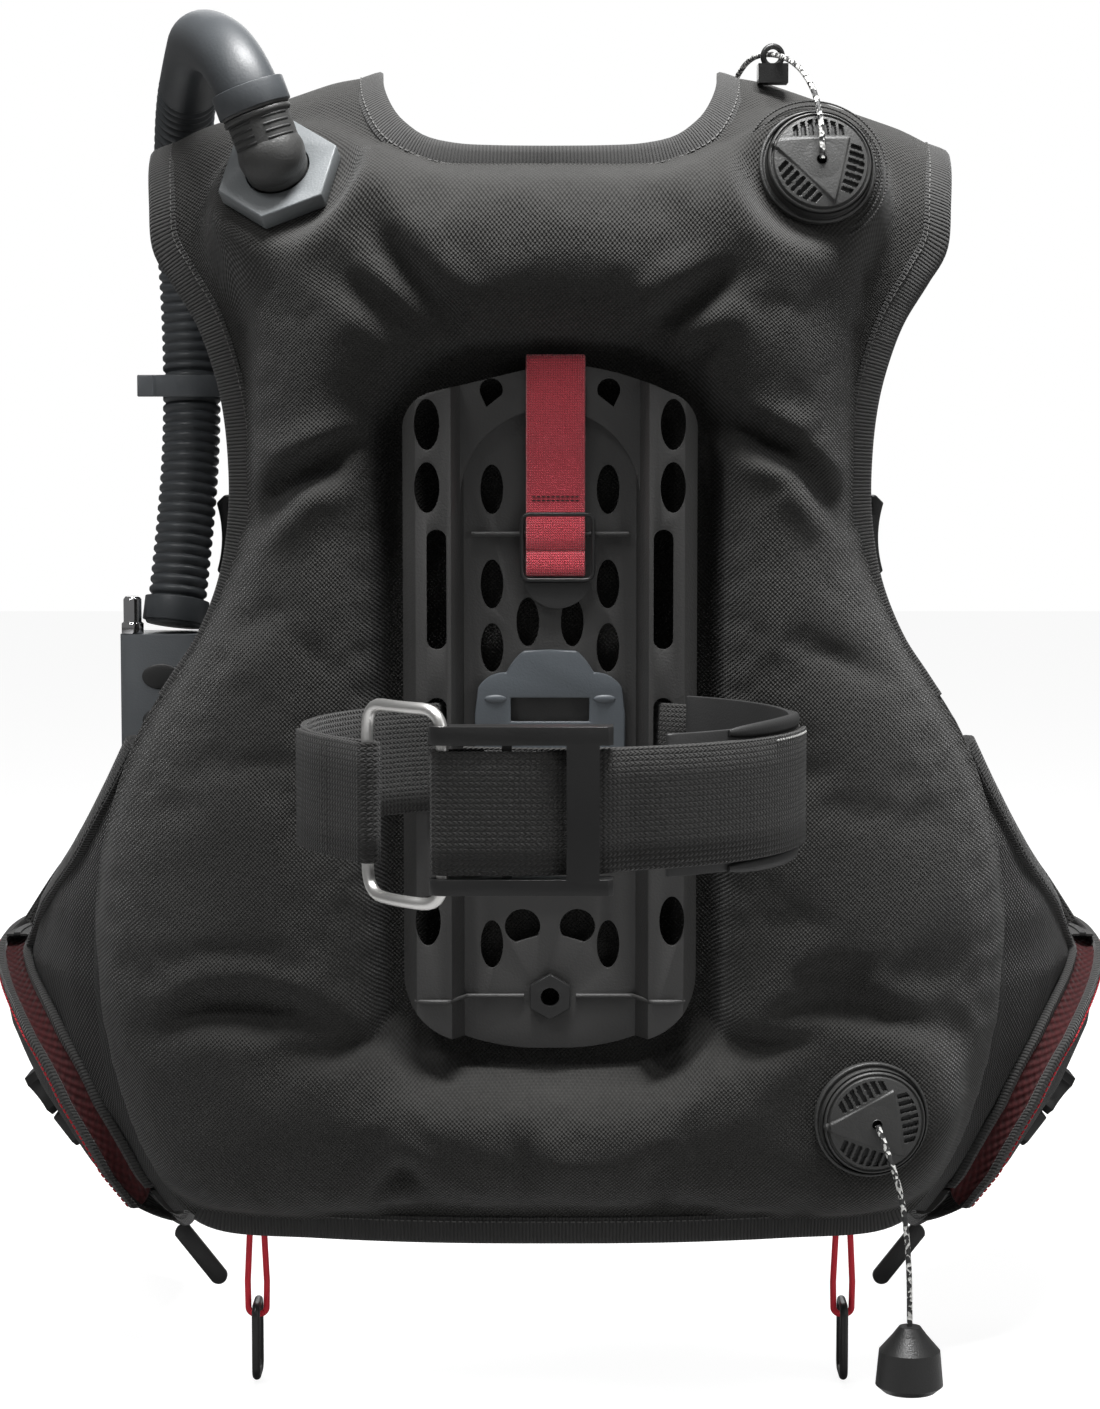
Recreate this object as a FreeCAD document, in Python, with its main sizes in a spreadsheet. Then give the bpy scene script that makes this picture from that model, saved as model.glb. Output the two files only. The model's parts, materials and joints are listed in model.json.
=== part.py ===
"""Buoyancy compensator vest: back bladder, tank band, back plate, valves, inflator, wings and pockets.

Frame: origin on the tank's axis at the height of the tank band, +Z up, -Y towards the tank,
+Y towards the wearer, -X on the wearer's left.  Millimetres.
"""
import FreeCAD, Part
import math
import os
from FreeCAD import Placement, Rotation, Vector

os.makedirs("parts", exist_ok=True)
doc = FreeCAD.newDocument("buoyancy_vest")

# ---------------------------------------------------------------- driving sizes
SIZES = {
    "tank_radius": 101.6,
    "band_height": 50.0,
    "band_rise": 5.5,
    "band_thick": 2.6,
    "pad_height": 58.0,
    "pad_thick": 2.4,
    "plate_width": 134.0,
    "plate_thick": 3.5,
    "rail_front": 92.5,
    "recess_front": 109.0,
    "recess_half": 39.5,
    "plate_foot": -132.0,
    "plate_top": 184.0,
    "slot_width": 9.0,
    "slot_offset": 51.5,
    "bore_radius": 4.25,
    "insert_length": 9.0,
    "back_radius": 379.0,
    "back_centre": 497.0,
    "lobe_half": 46.0,
    "skirt_half": 5.0,
    "tank_clearance": 2.9,
    "cap_radius": 24.5,
    "disc_radius": 14.0,
    "base_radius": 26.5,
    "hex_radius": 29.0,
    "hose_radius": 14.8,
    "elbow_bore": 11.0,
    "grip_width": 42.0,
    "grip_depth": 34.0,
    "grip_height": 122.0,
    "button_radius": 9.0,
    "button_gap": 0.3,
    "nipple_radius": 4.5,
    "cord_radius": 1.3,
    "ring_rod": 2.5,
    "link_width": 62.0,
    "lever_length": 72.0,
    "lever_bar": 13.0,
    "wing_thick": 9.0,
    "pocket_gap": 1.5,
    "pocket_thick": 14.0,
    "strap_width": 27.0,
    "strap_thick": 2.0,
    "webbing_width": 38.0,
    "webbing_thick": 2.5,
    "buckle_width": 46.0,
    "buckle_thick": 13.0,
    "shoulder_thick": 9.0,
    "tab_width": 9.0,
    "tab_length": 34.0,
}
sheet = doc.addObject("Spreadsheet::Sheet", "Sizes")
for row, (alias, value) in enumerate(SIZES.items(), start=1):
    sheet.set(f"A{row}", alias)
    sheet.set(f"B{row}", str(value))
    sheet.setAlias(f"B{row}", alias)
doc.recompute()


def size(alias):
    """The value of one cell of the sheet."""
    return float(sheet.get(alias))


# ---------------------------------------------------------------- helpers
nodes = []


def keep(obj, label, place=None):
    """Name an object as one sub-part of the vest."""
    obj.Label = label
    if place is not None:
        obj.Placement = place
    nodes.append(obj)
    return obj


def feature(label, shape, place=None):
    """A sub-part whose shape comes straight from Part's functions."""
    obj = doc.addObject("Part::Feature", label)
    obj.Shape = shape
    return keep(obj, label, place)


def new_body(label, place=None):
    """A PartDesign body that is one sub-part."""
    body = doc.addObject("PartDesign::Body", label)
    return keep(body, label, place)


def sketch_on(body, name, role, offset=0.0):
    """A sketch on one of the body's own origin planes, moved along its normal."""
    sketch = body.newObject("Sketcher::SketchObject", name)
    plane = next(f for f in body.Origin.OriginFeatures if f.Role == role)
    sketch.AttachmentSupport = (plane, [""])
    sketch.MapMode = "FlatFace"
    sketch.AttachmentOffset = Placement(Vector(0, 0, offset), Rotation())
    return sketch


def outline(sketch, points):
    """Draw a closed line: a pair is a corner, ("arc", middle, end) an arc from the last point."""
    last = points[0]
    for step in points[1:] + [points[0]]:
        if step[0] == "arc":
            ends = [Vector(*last, 0), Vector(*step[1], 0), Vector(*step[2], 0)]
            sketch.addGeometry(Part.Arc(*ends), False)
            last = step[2]
        elif math.dist(last, step) > 1e-6:
            sketch.addGeometry(Part.LineSegment(Vector(*last, 0), Vector(*step, 0)), False)
            last = step
    return sketch


def box_outline(sketch, x, y, width, height):
    """Draw a rectangle about (x, y)."""
    half, rise = width / 2, height / 2
    return outline(sketch, [(x - half, y - rise), (x + half, y - rise),
                            (x + half, y + rise), (x - half, y + rise)])


def circle(sketch, x, y, radius):
    """Draw a circle."""
    sketch.addGeometry(Part.Circle(Vector(x, y, 0), Vector(0, 0, 1), radius), False)
    return sketch


def oval(sketch, x, z, width, height):
    """Draw an upright ellipse."""
    tall = Vector(x, z + height / 2, 0)
    wide = Vector(x + width / 2, z, 0)
    sketch.addGeometry(Part.Ellipse(tall, wide, Vector(x, z, 0)), False)
    return sketch


def pad(body, sketch, length, flip=False):
    """Pad a sketch; length is a number or an expression on the sheet."""
    new = body.newObject("PartDesign::Pad", sketch.Name + "Pad")
    new.Profile = sketch
    if isinstance(length, str):
        new.setExpression("Length", length)
    else:
        new.Length = length
    new.Reversed = flip
    sketch.Visibility = False
    return new


def pocket(body, sketch, depth=None, flip=False):
    """Cut a sketch into the body, through everything unless a depth is given."""
    new = body.newObject("PartDesign::Pocket", sketch.Name + "Pocket")
    new.Profile = sketch
    if depth is None:
        new.Type = "ThroughAll"
        new.Midplane = True
    else:
        new.Length = depth
        new.Reversed = flip
    sketch.Visibility = False
    return new


def aim(position, direction, spin=0.0):
    """Placement that turns local +Z to a direction."""
    turn = Rotation(Vector(0, 0, 1), Vector(*direction))
    return Placement(Vector(*position), turn * Rotation(Vector(0, 0, 1), spin))


def route_wire(points, largest=1e6):
    """Straight runs joined by tangent arcs, each arc as large as its runs or the limit allow."""
    points = [Vector(*p) for p in points]
    edges = []
    radii = []
    start = points[0]
    for before, corner, after in zip(points, points[1:], points[2:]):
        to_back = before - corner
        to_front = after - corner
        turn = math.pi - to_back.getAngle(to_front)
        reach = min(0.45 * min(to_back.Length, to_front.Length), largest * math.tan(turn / 2))
        radii.append(reach / math.tan(turn / 2))
        back = corner + to_back.normalize() * reach
        front = corner + to_front.normalize() * reach
        inward = (to_back + to_front).normalize()
        centre = corner + inward * math.hypot(reach, radii[-1])
        middle = centre - inward * radii[-1]
        edges.append(Part.LineSegment(start, back).toShape())
        edges.append(Part.Arc(back, middle, front).toShape())
        start = front
    edges.append(Part.LineSegment(start, points[-1]).toShape())
    return Part.Wire(edges), radii


def tube(name, points, radius, largest=1e6):
    """A solid round tube along a route; prints its bend radii and checks its volume."""
    wire, radii = route_wire(points, largest)
    first = Vector(*points[0])
    along = Vector(*points[1]) - first
    ring = Part.Wire([Part.Circle(first, along, radius).toShape()])
    solid = wire.makePipeShell([ring], True, False)
    expected = math.pi * radius ** 2 * wire.Length
    smallest = min(radii) if radii else 0
    print(f"{name}: length {wire.Length:.0f} mm, least bend radius {smallest:.1f} mm,",
          f"volume ratio {solid.Volume / expected:.3f}")
    return solid


def prism(points, low, high):
    """Solid whose outline lies in the XZ plane and runs along Y from low to high."""
    edges = []
    last = Vector(points[0][0], low, points[0][1])
    for step in points[1:] + [points[0]]:
        if step[0] == "arc":
            middle = Vector(step[1][0], low, step[1][1])
            end = Vector(step[2][0], low, step[2][1])
            edges.append(Part.Arc(last, middle, end).toShape())
        else:
            end = Vector(step[0], low, step[1])
            if (end - last).Length < 1e-6:
                continue
            edges.append(Part.LineSegment(last, end).toShape())
        last = end
    return Part.Face(Part.Wire(edges)).extrude(Vector(0, high - low, 0))


def mirrored(points):
    """The other half of an outline that is given from the middle of its top to its foot."""
    flipped = []
    path = [points[0]]
    for step in points[1:]:
        path.append(step)
    ends = [step[2] if step[0] == "arc" else step for step in path]
    for index in range(len(path) - 1, 0, -1):
        x, z = ends[index - 1]
        if path[index][0] == "arc":
            middle = path[index][1]
            flipped.append(("arc", (-middle[0], middle[1]), (-x, z)))
        else:
            flipped.append((-x, z))
    return points + flipped


def other_side(shape):
    """The same shape on the wearer's other side."""
    return shape.mirror(Vector(0, 0, 0), Vector(1, 0, 0))


def shell_band(inner, outer):
    """Upright round shell about the wearer's back, between two radii."""
    centre = Vector(0, size("back_centre"), -400)
    wide = Part.makeCylinder(outer, 900, centre)
    return wide.cut(Part.makeCylinder(inner, 900, centre))


# ---------------------------------------------------------------- bladder and back pad
BACK_HALF = [
    (0, 282),
    (44, 283),
    ("arc", (62, 284), (78, 287)),
    (187, 245),
    ("arc", (149, 125), (186, 28)),
    ("arc", (221, -90), (192, -201)),
    ("arc", (178, -219), (155, -228)),
    (0, -225),
]
BACK_CORE_HALF = [
    (0, 268),
    (60, 268),
    (150, 245),
    ("arc", (134, 125), (170, 20)),
    ("arc", (203, -90), (174, -190)),
    ("arc", (160, -206), (140, -212)),
    (0, -210),
]
WINDOW_HALF = [
    (0, 194),
    (50, 184),
    ("arc", (69, 178), (77, 156)),
    (77, -100),
    ("arc", (70, -126), (46, -136)),
    (0, -143),
]
VALVES = {
    "rear_dump": ((147.5, 94.0, -162.0), (0.15, -0.985, -0.03)),
    "shoulder_dump": ((121.0, 112.0, 272.0), (0.12, -0.95, 0.28)),
    "elbow": ((-122.7, 122.0, 268.0), (-0.2, -0.77, 0.6)),
}
SEAT_DEPTH = 8.0
SEAT_MARGIN = 1.5

spine = size("back_radius")
lobe = size("lobe_half")
skirt = size("skirt_half")
core = prism(mirrored(BACK_CORE_HALF), 0, 400).common(shell_band(spine - lobe, spine + lobe))
flange = prism(mirrored(BACK_HALF), 0, 400).common(shell_band(spine - skirt, spine + skirt))
bladder = core.fuse(flange).cut(prism(mirrored(WINDOW_HALF), 0, 400))
tank_way = Part.makeCylinder(size("tank_radius") + size("tank_clearance"), 900, Vector(0, 0, -400))
bladder = bladder.cut(tank_way)
for name, (position, direction) in VALVES.items():
    reach = size("hex_radius") if name == "elbow" else size("base_radius")
    seat = Part.makeCylinder(reach + SEAT_MARGIN, 60)
    place = aim(position, direction)
    seat.Placement = place.multiply(Placement(Vector(0, 0, -SEAT_DEPTH), Rotation()))
    bladder = bladder.cut(seat)
feature("bladder_shell", bladder.removeSplitter())

PAD_HALF = [
    (0, 190),
    (48, 180),
    ("arc", (66, 174), (73, 154)),
    (73, -100),
    ("arc", (67, -122), (44, -132)),
    (0, -138),
]
PAD_FRONT = 118.0
PAD_DEPTH = 18.0
feature("back_pad", prism(mirrored(PAD_HALF), PAD_FRONT, PAD_FRONT + PAD_DEPTH))

# ---------------------------------------------------------------- shoulder panels
SHOULDER_BACK = (134.0, 292.0)
SHOULDER_CREST = (190.0, 324.5)
SHOULDER_FRONT = (262.0, 262.0)
SHOULDER_END = (272.0, 128.0)
SHOULDER_RUN = Vector(130, 30, -41)
SHOULDER_START = 66.0
SHOULDER_EDGES = [
    (72, 340),
    (79, 292),
    (96, 200),
    (110, 120),
    (152, 120),
    (155, 190),
    ("arc", (164, 236), (187, 264)),
    (192, 300),
]
FRONT_CORNER = [(215, 232), (184, 232), (163, 258), (163, 420), (215, 420), (215, 232)]


def shoulder_panel():
    """Padded strap that runs over one shoulder."""
    points = [SHOULDER_BACK, SHOULDER_CREST, SHOULDER_FRONT, SHOULDER_END]
    back, crest, front, end = [Vector(SHOULDER_START, y, z) for y, z in points]
    arc = Part.Arc(back, crest, front).toShape()
    thick = size("shoulder_thick")
    centre = arc.Curve.Center
    shrink = (arc.Curve.Radius - thick) / arc.Curve.Radius
    inner = [centre + (p - centre) * shrink for p in (back, crest, front)]
    inner_end = end - Vector(0, thick, 0)
    edges = [
        arc,
        Part.LineSegment(front, end).toShape(),
        Part.LineSegment(end, inner_end).toShape(),
        Part.LineSegment(inner_end, inner[2]).toShape(),
        Part.Arc(inner[2], inner[1], inner[0]).toShape(),
        Part.LineSegment(inner[0], back).toShape(),
    ]
    band = Part.Face(Part.Wire(edges)).extrude(SHOULDER_RUN)
    corner = Part.Face(Part.makePolygon([Vector(x, y, 0) for x, y in FRONT_CORNER]))
    band = band.cut(corner.extrude(Vector(0, 0, 400)))
    return band.common(prism(SHOULDER_EDGES, 60, 400)).removeSplitter()


shoulder = shoulder_panel()
feature("shoulder_panel_right", shoulder)
feature("shoulder_panel_left", other_side(shoulder))

# ---------------------------------------------------------------- back plate
PLATE_HALF = [
    (0, 184),
    ("arc", (30, 180), (54, 171)),
    ("arc", (64, 164), (67, 152)),
    (67, -96),
    ("arc", (58, -117), (40, -126)),
    ("arc", (20, -131), (0, -132)),
]
RAIL_INNER = 45.0
RAIL_OUTER = 61.0
RAIL_EDGE_DEPTH = 98.0
PLATE_BACK = 112.5

plate = new_body("back_plate")
thick = size("plate_thick")
front_points = [
    (size("recess_half"), size("recess_front")),
    (RAIL_INNER, size("rail_front")),
    (RAIL_OUTER, size("rail_front")),
    (size("plate_width") / 2, RAIL_EDGE_DEPTH),
    (size("plate_width") / 2, PLATE_BACK),
]
rear_points = [
    (size("plate_width") / 2 - thick, PLATE_BACK),
    (size("plate_width") / 2 - thick, RAIL_EDGE_DEPTH + 1.5),
    (RAIL_OUTER - 1.5, size("rail_front") + thick),
    (RAIL_INNER + 3.0, size("rail_front") + thick),
    (size("recess_half") + 3.0, size("recess_front") + thick),
]
right_half = front_points + rear_points
left_half = [(-x, y) for x, y in reversed(right_half)]
section = sketch_on(plate, "PlateSection", "XY_Plane", size("plate_foot"))
outline(section, right_half + left_half)
pad(plate, section, "Sizes.plate_top - Sizes.plate_foot")
bridge = sketch_on(plate, "TopBridge", "XZ_Plane", -size("recess_front") - 1.0)
outline(bridge, [(-41, 124), ("arc", (0, 163.5), (41, 124)), (41, 186), (-41, 186)])
pad(plate, bridge, 5.5)
trim = sketch_on(plate, "PlateOutline", "XZ_Plane", -60.0)
outline(trim, mirrored(PLATE_HALF)[:-1])
box_outline(trim, 0, 20, 200, 400)
pocket(plate, trim)
OUTER_OVALS = [(55.8, 156.5), (55.8, 128.0), (55.8, -70.2)]
INNER_OVALS = [(26.6, 126.8), (26.6, 83.4), (26.6, 54.2), (26.9, -83.5), (10.2, 66.0)]
UPPER_HOLES = [(27.0, 170.8)]
LOWER_HOLES = [(10.9, -75.2)]
holes = sketch_on(plate, "OvalHoles", "XZ_Plane", -60.0)
for side in (-1, 1):
    for x, z in OUTER_OVALS:
        oval(holes, side * x, z, 11.5, 23.0)
    for x, z in INNER_OVALS:
        oval(holes, side * x, z, 10.4, 22.6)
    for x, z in UPPER_HOLES:
        crown = ("arc", (side * x, z + 6.5), (side * (x + 4.5), z - 1.0))
        outline(holes, [(side * (x - 5.0), z - 1.0), crown, (side * (x + 2.0), z - 6.5)])
    for x, z in LOWER_HOLES:
        crown = ("arc", (side * x, z + 8.0), (side * (x + 5.0), z - 7.5))
        outline(holes, [(side * (x - 5.0), z - 4.5), crown])
pocket(plate, holes)
SLOT_SPANS = [(54.5, 109.0), (-21.5, 32.5)]
slots = sketch_on(plate, "BandSlots", "XZ_Plane", -60.0)
half_slot = size("slot_width") / 2
for side in (-1, 1):
    for low, high in SLOT_SPANS:
        x = side * size("slot_offset")
        foot_end = ("arc", (x, low), (x + half_slot, low + half_slot))
        top_end = ("arc", (x, high), (x - half_slot, high - half_slot))
        outline(slots, [(x - half_slot, low + half_slot), foot_end,
                        (x + half_slot, high - half_slot), top_end])
pocket(plate, slots)
bore = sketch_on(plate, "InsertHole", "XZ_Plane", -60.0)
circle(bore, 0, -107.5, 7.0)
pocket(plate, bore)

# hexagonal threaded insert in the plate's foot
INSERT_AT = (0.0, 113.5, -107.5)
insert = new_body("plate_insert", aim(INSERT_AT, (0, -1, 0)))
INSERT_REACH = 10.6
hexagon = []
for k in range(6):
    angle = math.radians(60 * k + 30)
    hexagon.append((INSERT_REACH * math.cos(angle), INSERT_REACH * math.sin(angle)))
head = sketch_on(insert, "InsertHead", "XY_Plane", size("insert_length") - 4.2)
outline(head, hexagon)
circle(head, 0, 0, size("bore_radius"))
pad(insert, head, 4.2)
neck = sketch_on(insert, "InsertNeck", "XY_Plane")
circle(neck, 0, 0, 6.9)
circle(neck, 0, 0, size("bore_radius"))
pad(insert, neck, "Sizes.insert_length - 4.2")

# band guide bracket
GUIDE_FRONT = 104.0
guide = new_body("band_guide")
GUIDE_HALF = [
    (0, 53.5),
    (12, 53),
    ("arc", (17, 48), (20, 43)),
    ("arc", (28, 41), (33, 36)),
    (34.5, 24),
    (34.5, -4),
    (0, -4),
]
guide_face = sketch_on(guide, "GuideOutline", "XZ_Plane", -(GUIDE_FRONT + 4.6))
outline(guide_face, mirrored(GUIDE_HALF)[:-1])
box_outline(guide_face, 0, 26, 36, 11)
pad(guide, guide_face, 4.6)

# ---------------------------------------------------------------- tank band and its rubber pad
def ring_strip(inner, outer, start, end, low, high):
    """Upright strip of a round wall; angles in degrees from -Y towards +X."""
    edges = []
    corners = []
    for radius in (inner, outer):
        points = []
        for angle in (start, (start + end) / 2, end):
            turn = math.radians(angle)
            points.append(Vector(radius * math.sin(turn), -radius * math.cos(turn), low))
        edges.append(Part.Arc(*points).toShape())
        corners.append(points)
    edges.append(Part.LineSegment(corners[0][0], corners[1][0]).toShape())
    edges.append(Part.LineSegment(corners[0][2], corners[1][2]).toShape())
    face = Part.Face(Part.Wire(Part.__sortEdges__(edges)))
    return face.extrude(Vector(0, 0, high - low))


def ribbon_sides(points, half_thick):
    """Closed outline of a strip that follows an open line of corners in a plane."""
    steps = [((b[0] - a[0]), (b[1] - a[1])) for a, b in zip(points, points[1:])]
    steps = [(dx / math.hypot(dx, dy), dy / math.hypot(dx, dy)) for dx, dy in steps]
    left = []
    right = []
    for index, (x, y) in enumerate(points):
        before = steps[max(index - 1, 0)]
        after = steps[min(index, len(steps) - 1)]
        normal = (-(before[1] + after[1]) / 2, (before[0] + after[0]) / 2)
        reach = half_thick / (normal[0] ** 2 + normal[1] ** 2)
        left.append((x + normal[0] * reach, y + normal[1] * reach))
        right.append((x - normal[0] * reach, y - normal[1] * reach))
    return left + right[::-1] + left[:1]


def strip_along(points, half_thick, low, high):
    """Upright flat strip along an open line of corners in the XY plane."""
    sides = ribbon_sides(points, half_thick)
    face = Part.Face(Part.makePolygon([Vector(x, y, low) for x, y in sides]))
    return face.extrude(Vector(0, 0, high - low))


band_low = size("band_rise") - size("band_height") / 2
band_high = size("band_rise") + size("band_height") / 2
pad_low = size("band_rise") - size("pad_height") / 2
pad_high = size("band_rise") + size("pad_height") / 2
tank = size("tank_radius")
pad_outer = tank + size("pad_thick")
band_inner = pad_outer + 0.2
band_outer = band_inner + size("band_thick")
PAD_START = 27.0
PAD_END = 143.0
LEVER_PIVOT = (-42.5, -114.0)
LINK_FOLD = (-74.0, -79.0)
FOLD_INNER = 2.9
SLOT_ANGLE = 151.5
BAND_END = -19.0
BAND_FOLD = -49.0

feature("band_pad", ring_strip(tank, pad_outer, PAD_START, PAD_END, pad_low, pad_high))
long_arc = ring_strip(band_inner, band_outer, BAND_END, SLOT_ANGLE, band_low, band_high)
short_arc = ring_strip(band_inner, band_outer, -SLOT_ANGLE, BAND_FOLD, band_low, band_high)
BEHIND_PLATE = 115.3
band_middle = (band_inner + band_outer) / 2


def on_band(angle):
    """Point on the band's middle line."""
    turn = math.radians(angle)
    return (band_middle * math.sin(turn), -band_middle * math.cos(turn))


def upright_ring(centre, outer, inner, low, high):
    """Short tube about an upright axis."""
    foot = Vector(centre[0], centre[1], low)
    wall = Part.makeCylinder(outer, high - low, foot)
    return wall.cut(Part.makeCylinder(inner, high - low, foot))


slot_point = on_band(SLOT_ANGLE - 0.8)
behind = [slot_point, (46.0, BEHIND_PLATE), (-46.0, BEHIND_PLATE), (-slot_point[0], slot_point[1])]
run = strip_along(behind, size("band_thick") / 2, band_low, band_high)
fold_outer = FOLD_INNER + size("band_thick")
fold = upright_ring(LINK_FOLD, fold_outer, FOLD_INNER, band_low, band_high)
fold_side = (LINK_FOLD[0] - 3.6, LINK_FOLD[1] + 2.4)
fold_join = strip_along([on_band(BAND_FOLD - 0.8), fold_side], size("band_thick") / 2, band_low, band_high)
fold_join = fold_join.cut(Part.makeCylinder(FOLD_INNER, 200, Vector(*LINK_FOLD, -100)))
feature("tank_band", long_arc.fuse([short_arc, run, fold, fold_join]).removeSplitter())

# stainless link, a rounded frame of rod that lies in the band's fold
rod = size("ring_rod")
LINK_MIDDLE = 7.0
LINK_CROWN = 39.0
LINK_BEND = 6.0
link_half = [
    (*LINK_FOLD, LINK_MIDDLE),
    (*LINK_FOLD, LINK_MIDDLE + size("link_width") / 2),
    (-60.0, -101.0, LINK_MIDDLE + LINK_CROWN),
    (*LEVER_PIVOT, LINK_MIDDLE + LINK_CROWN),
    (*LEVER_PIVOT, LINK_MIDDLE),
]
upper = tube("link_ring", link_half, rod, LINK_BEND)
lower = upper.mirror(Vector(0, 0, LINK_MIDDLE), Vector(0, 0, 1))
feature("link_ring", upper.fuse(lower).removeSplitter())

# cam lever: two side rails, a front bar over the webbing and an inner bar
LEVER_LEFT = -47.0
LEVER_BACK = -108.6
LEVER_FRONT = -120.5
RAILS = [(-27.0, -20.6), (32.6, 40.0)]
PIVOT_PLAY = 0.2
lever = new_body("cam_lever")
for number, (low, high) in enumerate(RAILS):
    rail = sketch_on(lever, f"LeverRail{number}", "XY_Plane", low)
    right = LEVER_LEFT + size("lever_length")
    nose = ("arc", (LEVER_LEFT - 0.9, -114.5), (LEVER_LEFT + 5, LEVER_FRONT))
    outline(rail, [(LEVER_LEFT + 5, LEVER_BACK), nose, (right - 2, LEVER_FRONT), (right, LEVER_FRONT + 2),
                   (right, LEVER_BACK)])
    circle(rail, *LEVER_PIVOT, rod + PIVOT_PLAY)
    pad(lever, rail, high - low)
lever_bar = sketch_on(lever, "LeverBar", "XY_Plane", RAILS[0][1] - 0.5)
box_outline(lever_bar, 13.0, -118.3, size("lever_bar"), 4.4)
box_outline(lever_bar, -17.0, -113.8, 4.0, 4.4)
pad(lever, lever_bar, RAILS[1][0] - RAILS[0][1] + 1.0)

# webbing that wraps the lever's end and lies over the band as its tail
TAIL_START = 16.0
TAIL_END = 82.0
tail_inner = band_outer + 0.4
tail_outer = tail_inner + size("band_thick")
tail_arc = ring_strip(tail_inner, tail_outer, TAIL_START, TAIL_END, band_low, band_high)
tail_middle = (tail_inner + tail_outer) / 2
turn = math.radians(TAIL_START + 0.8)
tail_corner = (tail_middle * math.sin(turn), -tail_middle * math.cos(turn))
wrap = [(-26.0, -109.6), (-46.6, -109.6), (-46.6, -118.9), (-4.0, -118.9), (2.0, -113.6),
        (19.0, -112.6), tail_corner]
tail = tail_arc.fuse(strip_along(wrap, size("band_thick") / 2, band_low, band_high))
feature("band_tail", tail.removeSplitter())

# ---------------------------------------------------------------- red strap over the plate's top
STRAP_MIDDLE = 2.5
STRAP_PATH = [
    (116.5, 150.0),
    (116.5, 187.5),
    (103.2, 187.5),
    (103.2, 152.0),
    (107.0, 140.0),
    (107.0, 92.0),
]


def cross_strip(points, middle, width, thick):
    """Flat strip across X, along an open line of corners in the YZ plane."""
    sides = ribbon_sides(points, thick / 2)
    face = Part.Face(Part.makePolygon([Vector(middle - width / 2, y, z) for y, z in sides]))
    return face.extrude(Vector(width, 0, 0))


strap = cross_strip(STRAP_PATH, STRAP_MIDDLE, size("strap_width"), size("strap_thick"))
ROLL_LEVELS = [(99.2, 113.6), (87.4, 98.8)]
for low, high in ROLL_LEVELS:
    width = size("strap_width")
    strap = strap.fuse(Part.makeBox(width, 4.2, high - low, Vector(STRAP_MIDDLE - width / 2, 102.6, low)))
feature("valve_strap", strap.removeSplitter())

slider = new_body("strap_slider")
slider_face = sketch_on(slider, "SliderFrame", "XZ_Plane", -105.0)
box_outline(slider_face, STRAP_MIDDLE + 1.0, 100.6, 33.5, 32.0)
box_outline(slider_face, STRAP_MIDDLE + 1.0, 100.6, 29.5, 28.0)
pad(slider, slider_face, 2.0)

patch = new_body("strap_patch")
patch_face = sketch_on(patch, "PatchFace", "XZ_Plane", -108.6)
outline(patch_face, [(-12, 84.2), ("arc", (3.5, 72.5), (19, 84.2))])
pad(patch, patch_face, 3.0)

# ---------------------------------------------------------------- dump valves and elbow
def turned(label, place, profile):
    """A piece turned about its own Z axis from a half profile of (radius, height) points."""
    new = new_body(label, place)
    half = sketch_on(new, label + "Profile", "XZ_Plane")
    outline(half, profile)
    spin = new.newObject("PartDesign::Revolution", label + "Turned")
    spin.Profile = half
    spin.ReferenceAxis = (half, ["V_Axis"])
    spin.Angle = 360
    half.Visibility = False
    return new


SEAT_BORE = 11.0
DISC_REST = 3.3
for name in ("rear_dump", "shoulder_dump"):
    place = aim(*VALVES[name])
    turned(name + "_base", place, [(SEAT_BORE, -6), (17, -6), (17, -1), (size("base_radius"), -1),
                                   (size("base_radius"), 2), (25, 3), (SEAT_BORE, 3)])
    cap = turned(name + "_cap", place, [(21.5, 3.3), (size("cap_radius"), 3.3), (size("cap_radius"), 9.5),
                                        (22.5, 12.6), (2.2, 13.8), (2.2, 11.6), (21.5, 10.6)])
    doc.recompute()
    vent = sketch_on(cap, name + "Vent", "XY_Plane", 8.0)
    box_outline(vent, 0, 14.5, 3.0, 8.0)
    vent_cut = pocket(cap, vent, 8.0, flip=True)
    ring = cap.newObject("PartDesign::PolarPattern", name + "Vents")
    ring.Originals = [vent_cut]
    ring.Axis = (vent, ["N_Axis"])
    ring.Angle = 360
    ring.Occurrences = 12
    cap.Tip = ring
    disc = size("disc_radius")
    turned(name + "_disc", place, [(0, DISC_REST), (disc, DISC_REST), (disc, 5.3), (1.8, 5.3), (1.8, 7.6),
                                   (0, 7.6)])

ELBOW_RISE = 9.0
elbow_place = aim(*VALVES["elbow"], spin=12.0)
reach = size("hex_radius")
hexagon = []
for k in range(6):
    angle = math.radians(60 * k)
    hexagon.append((reach * math.cos(angle), reach * math.sin(angle)))
elbow_base = new_body("elbow_base", elbow_place)
hex_sketch = sketch_on(elbow_base, "ElbowHexagon", "XY_Plane", -1.0)
outline(hex_sketch, hexagon)
circle(hex_sketch, 0, 0, 15.0)
pad(elbow_base, hex_sketch, ELBOW_RISE)
seat_sketch = sketch_on(elbow_base, "ElbowSeat", "XY_Plane", -6.0)
circle(seat_sketch, 0, 0, 17.0)
circle(seat_sketch, 0, 0, SEAT_BORE)
pad(elbow_base, seat_sketch, 6.0)
turned("elbow_disc", elbow_place, [(0, 0.4), (13.5, 0.4), (13.5, 2.4), (0, 2.4)])

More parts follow.
